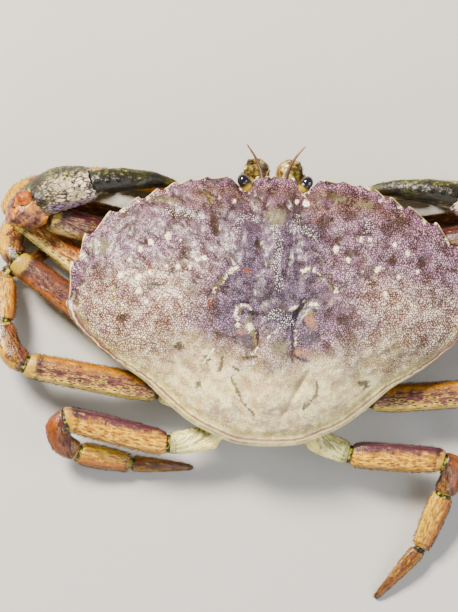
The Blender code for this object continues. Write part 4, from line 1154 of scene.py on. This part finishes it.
for limb, parts in limbs.items():
    if "claw" not in limb:
        continue
    for k, segment in enumerate(CLAW_SEGMENTS):
        name, start, end = parts["names"][k], parts["ends"][k], parts["ends"][k + 1]
        near = [] if segment in ("carpus", "hand") else parts["joints"][max(k - 1, 0) : max(k, 1)]
        fine = 3 if segment == "hand" else 2
        plate, numbers = dress_plate(name, start, end, near, parts["side"], fine, 0.4, ridges=0.1)
        if segment == "carpus":
            rows = points_of(plate)
            from_top = np.linalg.norm(rows - rows[np.argmax(rows[:, 2])], axis=1)
            store(plate, "knob", smoothstep(KNOB_REACH + 0.6 * MM, KNOB_REACH - 0.6 * MM, from_top))
            inner = np.abs(rows[:, 0] - PLAN_MIDDLE.x)
            store(plate, "spine", smoothstep(inner.min() + 4.0 * MM, inner.min() + 1.0 * MM, inner))
            finished(plate, wrist_finish, "wrist_shell", name)
        elif segment == "hand":
            palm = smoothstep(0.03, 0.1, numbers["along"]) * smoothstep(0.62, 0.5, numbers["along"])
            upper = smoothstep(-0.6, 0.0, points_of(plate, "normal")[:, 2])
            swell(plate, PALM_GRAINS * grain_rows(numbers, GRAIN_ROWS, GRAIN_STEP) * palm * upper)
            store(plate, "lilac", np.exp(-(((numbers["turn"] - LILAC_TURN) / 0.4) ** 2)) * palm)
            finished(plate, palm_finish, "palm_shell", name)
        else:
            finish, record_slot = segment_finishes[segment]
            finished(plate, finish or merus_finishes["claw"], record_slot, name)
        plates[name] = (plate, numbers, start, end)
    finger = limb + "_finger"
    hinge = meeting(finger, limb + "_hand")
    hinge["radius"] = 0.0
    tip = tip_of(finger, hinge["middle"])
    plate, numbers = dress_plate(finger, hinge, tip, [], parts["side"], 2, 0.4, ridges=0.2)
    store(plate, "lilac", 0)
    finished(plate, finger_finish, "finger_shell", finger)
    plates[finger] = (plate, numbers, hinge, tip)
print("Two claws are dressed")

# %% [markdown]
# ## The underside
#
# The breast plate is cream and parted by fine grooves that run out between the legs, where its segments have grown
# together. The grooves and a band round the mouth are painted dark brown, which is painted shade. Its copy is
# remeshed to even faces first, because the solid's flat underside has none to move. The abdomen is folded tight
# under it, narrow as in all males.

# %% Breast plate and abdomen
BREAST_HALF = (36.0, 46.0)
BREAST_MIDDLE_Y = -6.0
BREAST_GROOVES = (71, 52, 25, -1, -26, -50, -72)
MOUTH_HALF, MOUTH_Y = 22.0, 42.0

breast = copy_of("thorax", "breast_plate")
apply_modifier(breast, "REMESH", mode="VOXEL", voxel_size=1.0 * MM)
rows = points_of(breast)
x, y = plan_of(rows)
down = smoothstep(-0.3, -0.9, points_of(breast, "normal")[:, 2])
across, ahead = np.abs(x) / BREAST_HALF[0], (y - BREAST_MIDDLE_Y) / BREAST_HALF[1]
direction, outward = np.degrees(np.arctan2(ahead, across)), np.hypot(across, ahead)
groove = np.zeros(len(x))
for angle in BREAST_GROOVES:
    groove = np.maximum(groove, np.exp(-(((direction - angle) * outward / 2.2) ** 2)))
groove *= smoothstep(0.3, 0.5, outward)
groove = np.maximum(groove, np.exp(-((x / 1.0) ** 2)) * smoothstep(0.0, 10.0, y))
rows += np.outer(groove * down * 0.9 * MM, (0, 0, 1))
rows += points_of(breast, "normal") * (0.25 * cloudy(rows, 9) * MM)[:, None]
put_points(breast, rows)
# Painted shade: a band round the mouth, where the jaws close over the hollow mouth, is darkened like the grooves.
mouth_shade = smoothstep(MOUTH_HALF, MOUTH_HALF - 7.0, np.abs(x)) * smoothstep(MOUTH_Y, MOUTH_Y + 5.0, y)
store(breast, "groove", np.maximum(groove * down, mouth_shade))
smooth(breast)

ink = Finish("cream_belly_chitin", 0.38)
cloud = ink.noise(9, 6, 0.65)
groove_and_mouth_shade = ink.share("groove")
ink.ground(ink.ramp(cloud, [(0.38, "#87783C"), (0.5, "#C8B46E"), (0.62, "#F0E6B4")]))
ink.paint(ink.step(ink.noise(2.4, 4, 0.7), 0.6, 0.74, 0.4), "#64410A")
# Painted shade: the grooves and the band round the mouth are painted dark brown.
ink.paint(groove_and_mouth_shade, "#463214")
ink.bump(ink.step(ink.cells(1.1), 0.0, 0.3), 0.3, 0.2)
finished(breast, ink, "belly_shell", "thorax")

flap = copy_of("abdomen", "tail_flap")
crease_rims(flap, 0.5)
rounded(flap, 2)
swell(flap, 0.18 * cloudy(points_of(flap), 5))
store(flap, "groove", 0)
finished(flap, ink, "belly_shell", "abdomen")
print(len(breast.data.polygons), "faces on the breast plate")

# %% [markdown]
# ## One tube for stalks, feelers and jaw branches
#
# The slender pieces of the face are all bent, tapering tubes. One function makes them: it adds a cylinder, cuts it
# into rings, and moves each ring to its place on a soft curve with its own two radii. A curve object with a bevel
# would do the same, but its ends would stay open and its rings could not be squeezed flat one by one.

# %% Lay a cylinder along a bent line


def soft_line(line, shares):
    """Places on a soft curve through the points of a bent line, for shares from 0 to 1 of its length."""
    points = np.array(line, float)
    lengths = np.concatenate(([0], np.cumsum(np.linalg.norm(np.diff(points, axis=0), axis=1))))
    at = lengths / lengths[-1]
    slopes = np.gradient(points, at, axis=0)
    k = np.clip(np.searchsorted(at, shares, side="right") - 1, 0, len(at) - 2)
    gap = (at[k + 1] - at[k])[:, None]
    t = ((shares - at[k]) / gap[:, 0])[:, None]
    return ((2 * t**3 - 3 * t**2 + 1) * points[k] + (t**3 - 2 * t**2 + t) * gap * slopes[k]
            + (3 * t**2 - 2 * t**3) * points[k + 1] + (t**3 - t**2) * gap * slopes[k + 1])


def tube(name, line, sizes, rings=12, sides=10, levels=1):
    """A closed tube along a line in mm. Each entry of sizes is a share of the length,
        a half width and a half depth."""
    deselect()
    bpy.ops.mesh.primitive_cylinder_add(vertices=sides, radius=1, depth=1, end_fill_type="TRIFAN", location=(0, 0,
        0.5))
    piece = bpy.context.object
    piece.name = name
    bpy.ops.object.transform_apply(location=True, rotation=True, scale=True)
    cut_into_rings(piece, rings)
    rows = points_of(piece)
    share = np.clip(rows[:, 2], 0, 1)
    middle = soft_line(line, share)
    ahead = soft_line(line, np.minimum(share + 0.02, 1.0)) - soft_line(line, np.maximum(share - 0.02, 0.0))
    ahead /= np.linalg.norm(ahead, axis=1)[:, None]
    wide = np.cross(ahead, (0.0, 0.0, 1.0))
    wide /= np.linalg.norm(wide, axis=1)[:, None]
    deep = np.cross(wide, ahead)
    at, half_wide, half_deep = np.array(sizes, float).T
    rows = middle + wide * (rows[:, 0] * np.interp(share, at, half_wide))[:, None] \
        + deep * (rows[:, 1] * np.interp(share, at, half_deep))[:, None]
    put_points(piece, rows * MM + np.array(PLAN_MIDDLE))
    store(piece, "along", share)
    only(piece)
    mode("EDIT")
    bpy.ops.mesh.select_all(action="SELECT")
    bpy.ops.mesh.normals_make_consistent(inside=False)
    mode("OBJECT")
    rounded(piece, levels)
    return piece


def mirrored(line, sign):
    """A line with its x turned to one side: -1 for the crab's left, 1 for its right."""
    return [(x * sign, y, z) for x, y, z in line]


print("Tubes can be laid")

# %% [markdown]
# ## The face: eyes
#
# A crab's eyes are black beads on short stalks that fold into a notch beside the snout. The bead is set into the
# stalk's end like a lens into a cup, with a yellow-brown rim round it. It is a ball of its own, glossy and almost
# black, with the faintest net of facets, so that it catches the lamp as one clean highlight.

# %% Eyes and their stalks
EYE_ROOT = (8.6, 49.0, 36.0)
EYE_TIP = (14.6, 57.8, 36.4)
EYE_AT = 0.79
EYE_HALF = (2.7, 3.05)

cornea_finish = ink = Finish("black_eye_cornea", 0.08, ior=1.4, coat=1.0, coat_roughness=0.02)
facets = ink.cells(0.22, randomness=0.3)
ink.ground(ink.ramp(facets, [(0.2, "#0B0A0C"), (0.6, "#1A1620")]))
ink.bump(facets, 0.06, 0.05, invert=True)

stalk_finish = ink = Finish("eye_stalk_chitin", 0.32)
along = ink.share("along")
cloud = ink.noise(1.4, 4, 0.65)
stage = ink.math("MULTIPLY_ADD", cloud, 0.24, along)
ink.ground(ink.ramp(stage, [(0.1, "#281419"), (0.4, "#3C2D1E"), (0.6, "#5F4B14"), (0.78, "#96780F"),
    (0.92, "#32230A"), (1.0, "#0F0A05")]))
ink.bump(cloud, 0.4, 0.2)

for sign, side in ((-1, "left"), (1, "right")):
    root, tip = (np.array(mirrored([spot], sign)[0]) for spot in (EYE_ROOT, EYE_TIP))
    cup = root + (tip - root) * EYE_AT
    stalk = tube(f"eye_stalk_{side}", [root, (root + cup) / 2 + (0, 0, 0.2), cup],
                 [(0, 2.0, 1.9), (0.3, 1.9, 1.8), (0.6, 2.3, 2.2), (0.85, 2.85, 2.75), (1, 2.7, 2.6)], 10, 14)
    finished(stalk, stalk_finish, "mouth_shell", f"eye_{side}")
    deselect()
    bpy.ops.mesh.primitive_uv_sphere_add(segments=32, ring_count=20, radius=1)
    cornea = bpy.context.object
    cornea.name = f"eye_cornea_{side}"
    way = Vector(tip - root).normalized()
    turn_to = UP.rotation_difference(way).to_matrix().to_4x4()
    half = Vector((EYE_HALF[0], EYE_HALF[0], EYE_HALF[1])) * MM
    cornea.data.transform(Matrix.Translation(in_frame(*(cup + np.array(way) * 0.5))) @ turn_to
                          @ Matrix.Diagonal((*half, 1)))
    bpy.ops.object.shade_smooth()
    finished(cornea, cornea_finish, "eye_glass", f"eye_{side}")
print("Two eyes look ahead")

# %% [markdown]
# ## The face: feelers and the mouth's frame
#
# Beside each eye stands a long ringed feeler, and nearer the middle a short folded one. Below them a rounded bar
# frames the mouth from above. They are all tubes of the function above. The rings of the feelers are a bump, finer
# than any ring of points could be.

# %% Feelers, folded feelers and mouth frame
FEELER_LINE = [(4.6, 49.6, 30.8), (5.4, 59.4, 31.0), (8.4, 66.4, 32.4), (12.6, 72.0, 35.4)]
FEELER_SIZES = [(0, 1.7, 1.5), (0.16, 1.9, 1.6), (0.22, 1.3, 1.2), (0.36, 1.25, 1.15), (0.42, 0.85, 0.8),
                (0.7, 0.62, 0.6), (1, 0.3, 0.3)]
SHORT_LINE = [(2.3, 50.0, 30.2), (2.7, 56.0, 30.0), (3.0, 60.2, 31.6), (2.1, 61.4, 33.2)]
SHORT_SIZES = [(0, 1.1, 1.0), (0.45, 1.0, 0.9), (0.55, 0.7, 0.65), (0.85, 0.6, 0.5), (1, 0.35, 0.3)]
FRAME_LINE = [(-16.0, 44.0, 26.9), (-10.0, 49.6, 27.4), (0.0, 51.8, 28.0), (10.0, 49.6, 27.4), (16.0, 44.0, 26.9)]
RING_BEAT = 300.0
FRAME_SIZES = [(0, 0.9, 0.8), (0.15, 1.4, 1.2), (0.5, 1.7, 1.3), (0.85, 1.4, 1.2), (1, 0.9, 0.8)]

ink = Finish("ringed_feeler_chitin", 0.32)
along = ink.share("along")
cloud = ink.noise(1.5, 3)
rings = ink.math("SINE", ink.math("MULTIPLY", along, RING_BEAT))
stage = ink.math("MULTIPLY_ADD", cloud, 0.2, along)
ink.ground(ink.ramp(stage, [(0.1, "#827346"), (0.4, "#64461E"), (0.5, "#46322D"), (0.75, "#5A3C28"),
    (1.0, "#82643C")]))
ink.paint(ink.step(rings, 0.2, 0.9, 0.6), "#190A0A")
ink.bump(rings, 0.5, 0.12, invert=True)

for sign, side in ((-1, "left"), (1, "right")):
    feeler = tube(f"long_feeler_{side}", mirrored(FEELER_LINE, sign), FEELER_SIZES, 40, 10)
    finished(feeler, ink, "feeler_shell", f"antenna_{side}")
    short = tube(f"short_feeler_{side}", mirrored(SHORT_LINE, sign), SHORT_SIZES, 20, 8)
    finished(short, ink, "feeler_shell")

mouth_finish = ink = Finish("amber_mouth_chitin", 0.34)
cloud = ink.noise(3.5, 6, 0.7)
rim = ink.share("rim")
ink.ground(ink.ramp(cloud, [(0.38, "#231E0A"), (0.46, "#50411E"), (0.54, "#8C7837"), (0.64, "#D7CD8C")]))
ink.paint(ink.step(ink.math("MULTIPLY_ADD", cloud, 0.5, rim), 0.6, 1.0, 0.9), "#7D5514")
spots = ink.cells(1.5)
spot = ink.step(spots, 0.26, 0.12, 0.7)
ink.paint(spot, "#1E0F0A")
ink.bump(spots, 0.4, 0.2)
bar = tube("mouth_frame_bar", FRAME_LINE, FRAME_SIZES, 24, 12)
store(bar, "rim", 0)
finished(bar, mouth_finish, "mouth_shell")

# %% [markdown]
# ## The face: the foot jaws
#
# Two broad flaps, the outermost of six pairs of mouthparts, close over the mouth like a pair of doors. Each is a long
# plate with a furrow down its length, then a shorter plate, with a small folded feeler at the inner corner. The copy
# of the solid is rounded and gets the furrow, a raised rim and, further below, a fringe of bristles.

# %% Dress the foot jaws
JAW_START, JAW_END = (6.8, 50.0, 21.0), (8.2, 64.4, 27.8)
for sign, side in ((-1, "left"), (1, "right")):
    name = f"maxilliped_{side}"
    jaw = copy_of(name, f"foot_jaw_{side}")
    crease_rims(jaw, 0.3)
    rounded(jaw, 2)
    start, end = ({"middle": np.array(in_frame(*mirrored([spot], sign)[0])), "radius": 0.0}
                  for spot in (JAW_START, JAW_END))
    numbers = limb_numbers(jaw, start, end, side)
    normals = points_of(jaw, "normal")
    outer = smoothstep(-0.2, -0.7, normals[:, 2]) + smoothstep(0.3, 0.8, normals[:, 1])
    furrow = np.exp(-(((numbers["forward"] - 0.05) / 0.07) ** 2)) * smoothstep(0.62, 0.5, numbers["along"])
    rim = smoothstep(0.5, 0.85, np.abs(numbers["forward"]))
    swell(jaw, (0.35 * rim - 0.7 * furrow) * np.clip(outer, 0, 1) + 0.2 * cloudy(points_of(jaw), 2.2))
    store(jaw, "rim", np.clip(rim + smoothstep(0.85, 1.0, numbers["along"]), 0, 1))
    finished(jaw, mouth_finish, "mouth_shell", name)
    plates[name] = (jaw, numbers, start, end)
print("The mouth is closed")

# %% [markdown]
# ## Bristles
#
# Stiff golden-brown bristles fringe the legs' edges and the jaws, and shorter ones lie in the dark pits of the leg
# shells. All point away from the body and lie along the limb. One bristle is a thin three-sided spike, bent once,
# and three of them make a tuft. Thousands of copies of the tuft are set in rows, found by looking at each plate from
# the side at a given angle round it. Particle hair would be quicker to set up, but is no solid mesh.

# %% Model one tuft
deselect()
bpy.ops.mesh.primitive_circle_add(vertices=3, radius=0.055, fill_type="NGON", location=(0, 0, 0))
tuft = bpy.context.object
tuft.name = "bristle_pattern"
mode("EDIT")
bpy.ops.mesh.select_all(action="SELECT")
bpy.ops.mesh.extrude_region_move(TRANSFORM_OT_translate={"value": (0.03, 0, 0.5)})
bpy.ops.transform.resize(value=(0.75, 0.75, 1))
bpy.ops.mesh.extrude_region_move(TRANSFORM_OT_translate={"value": (0.13, 0, 0.5)})
bpy.ops.mesh.merge(type="CENTER")
bpy.ops.mesh.select_all(action="SELECT")
bpy.ops.mesh.quads_convert_to_tris()
bpy.ops.mesh.normals_make_consistent(inside=False)
mode("OBJECT")
spikes = [tuft]
for turn, lean, length in ((2.2, 0.24, 0.8), (4.1, 0.2, 0.9)):
    spike = placed("bristle", tuft.data.copy())
    spike.data.transform(Matrix.Rotation(turn, 4, "Z") @ Matrix.Translation((0.05, 0, 0))
                         @ Matrix.Rotation(lean, 4, "Y") @ Matrix.Scale(length, 4))
    spikes.append(spike)
only(tuft)
for spike in spikes:
    spike.select_set(True)
bpy.ops.object.join()
tuft = bpy.context.object
print("One tuft has", len(tuft.data.polygons), "faces")

# %% Where the rows run
TUFT_SEED = 23
JAW_SEED = 63
TUFTED = (0.04, 0.965)
FURTHEST_ROOT = 20 * MM
RAY_START = 40 * MM
FRINGES = {
    "base": [(1.3, 1.1, 0.9, 0.4), (-1.5, 1.2, 0.9, 0.4)],
    "merus": [(0.95, 0.75, 0.9, 0.35), (1.45, 0.6, 1.35, 0.6), (2.1, 0.8, 1.5, 0.5), (-1.0, 0.8, 0.9, 0.4),
              (-1.5, 0.6, 1.7, 0.6), (-2.1, 0.8, 1.7, 0.5)],
    "carpus": [(0.95, 0.75, 0.9, 0.35), (1.45, 0.6, 1.3, 0.55), (-1.0, 0.8, 0.9, 0.4), (-1.5, 0.65, 1.5, 0.55),
               (2.2, 1.0, 1.2, 0.4)],
    "propodus": [(0.9, 0.7, 0.9, 0.35), (1.4, 0.5, 1.5, 0.6), (-0.9, 0.7, 0.9, 0.35), (-1.45, 0.5, 1.8, 0.6),
                 (2.2, 0.8, 1.5, 0.5), (-2.2, 0.8, 1.6, 0.5)],
    "dactyl": [(0.6, 0.6, 0.9, 0.35), (1.4, 0.45, 1.4, 0.45), (-0.6, 0.6, 0.9, 0.35), (-1.4, 0.45, 1.5, 0.45),
               (2.3, 0.6, 1.1, 0.4), (-2.3, 0.6, 1.1, 0.4)],
    "hand": [(2.1, 1.0, 1.3, 0.5), (2.7, 1.0, 1.6, 0.5), (-2.3, 1.0, 1.6, 0.5), (1.6, 1.5, 0.9, 0.4)],
    "finger": [(1.5, 1.5, 0.8, 0.4), (-1.5, 1.5, 0.8, 0.4)],
    "jaw": [(1.5, 0.55, 1.3, 0.8), (-1.5, 0.55, 1.3, 0.8), (1.9, 0.7, 1.1, 0.7), (-1.9, 0.7, 1.1, 0.7)],
}
PIT_HAIRS = {"merus": 260, "carpus": 110, "propodus": 120, "dactyl": 70, "base": 20, "hand": 60, "finger": 10,
             "jaw": 60}


def rooted_tufts(plate, start, end, side, kind, chance, patch_row, patch_rows):
    """Roots, frames, patches and band numbers of all tufts on one plate."""
    axis, length, front_way, over = sides_of(start, end, side)
    skin, near_points = surface_of(plate)
    wanted = []
    for turn, step, size, stand in FRINGES[kind]:
        for k in range(int(length / MM / step)):
            wanted.append(((k + chance.random()) * step * MM / length, turn + chance.gauss(0, 0.07),
                           size * chance.uniform(0.65, 1.15), stand))
    for _ in range(PIT_HAIRS[kind]):
        wanted.append((chance.random(), chance.uniform(-1.5, 1.0), chance.uniform(0.6, 0.95), 0.16))
    found = []
    for share, turn, size, stand in wanted:
        if not TUFTED[0] < share < TUFTED[1]:
            continue
        way = Vector(front_way * math.sin(turn) + over * math.cos(turn))
        middle = Vector(np.array(start["middle"]) + axis * share * length)
        foot, normal, _, _ = skin.ray_cast(middle + way * RAY_START, -way)
        if foot is None or (foot - middle).length > FURTHEST_ROOT or normal.dot(way) < 0.1:
            continue
        lie = Vector(axis) + Vector([chance.gauss(0, 0.12) for _ in range(3)])
        lie -= normal * normal.dot(lie)
        found.append((foot - normal * 0.05 * MM, normal * stand + lie.normalized() * (1 - 0.35 * stand), normal, size,
                      ((patch_row + 0.05 + 0.9 * share) / patch_rows, 0.05 + 0.9 * (turn / (2 * math.pi) % 1.0)),
                      near_points.find(foot)[1]))
    return found


def coat(name, members, side, finish, record_slot, seed):
    """One piece of bristles for several plates. Each tuft takes the band numbers of the shell at its root."""
    chance = random.Random(seed)
    found, bands = [], {number: [] for number in LIMB_NUMBERS}
    for row, (key, kind) in enumerate(members):
        plate, numbers, start, end = plates[key]
        roots = rooted_tufts(plate, start, end, side, kind, chance, row, len(members))
        found += roots
        for number in LIMB_NUMBERS:
            bands[number].append(numbers[number][[root[5] for root in roots]])
    feet, axes, normals, sizes, spots = (np.array([root[k] for root in found]) for k in range(5))
    frames = frames_along(axes, -normals, np.tile(sizes[:, None] * MM, (1, 3)))
    piece = joined_copies(name, tuft, frames, feet, spots)
    for number in LIMB_NUMBERS:
        store(piece, number, np.repeat(np.concatenate(bands[number]), len(tuft.data.vertices)))
    finished(piece, finish, record_slot)
    print(name, len(found), "tufts,", len(piece.data.polygons), "faces")


# %% Set the coat of every limb and of the jaws
hair_finishes = {
    "claw": leg_finish("rosy_arm_bristles", "#320F19", ("#1E0A0A", "#4B281E"), "#7D6428", "#7D6428", 0.0, 0.45),
    "leg1": leg_finish("amber_leg_bristles", "#5A2D00", ("#230F00", "#553005"), "#8C6E1E", "#7D6428", 0.0, 0.45),
    "leg2": leg_finish("mauve_leg_bristles", "#4B1E00", ("#140505", "#372314"), "#6E4B0A", "#7D640F", 0.0, 0.45),
    "leg3": leg_finish("dusky_leg_bristles", "#5F3700", ("#190A0A", "#46281E"), "#876E19", "#7D640F", 0.0, 0.45),
    "leg4": leg_finish("peach_leg_bristles", "#280F14", ("#412300", "#6E460A"), "#7D500A", "#7D640F", 0.0, 0.45),
}
for number, (limb, parts) in enumerate(limbs.items()):
    members = list(zip(parts["names"], parts["segments"]))
    if "claw" in limb:
        members.append((limb + "_finger", "finger"))
    coat(f"{limb}_bristles", members, parts["side"], hair_finishes["claw" if "claw" in limb else limb[-4:]],
         "leg_shell", TUFT_SEED + number)
for side in SIDES:
    coat(f"jaw_bristles_{side}", [(f"maxilliped_{side}", "jaw")], side, hair_finishes["leg1"], "mouth_shell",
         JAW_SEED)

# %% Remove the patterns and print the size
for pattern in (grain, tuft):
    bpy.data.objects.remove(pattern)
visual = [piece for piece in bpy.context.scene.objects
          if piece.type == "MESH" and piece is not floor and piece.name not in solids]
spans = np.array([[points_of(piece).min(axis=0), points_of(piece).max(axis=0)] for piece in visual])
extent = spans[:, 1].max(axis=0) - spans[:, 0].min(axis=0)
triangles = sum(len(face.vertices) - 2 for piece in visual for face in piece.data.polygons)
size = {"cad": [round(v, 5) for v in CAD_BOX[1] - CAD_BOX[0]], "visual": [round(float(v), 5) for v in extent]}
print(size, len(visual), "pieces,", triangles, "triangles")
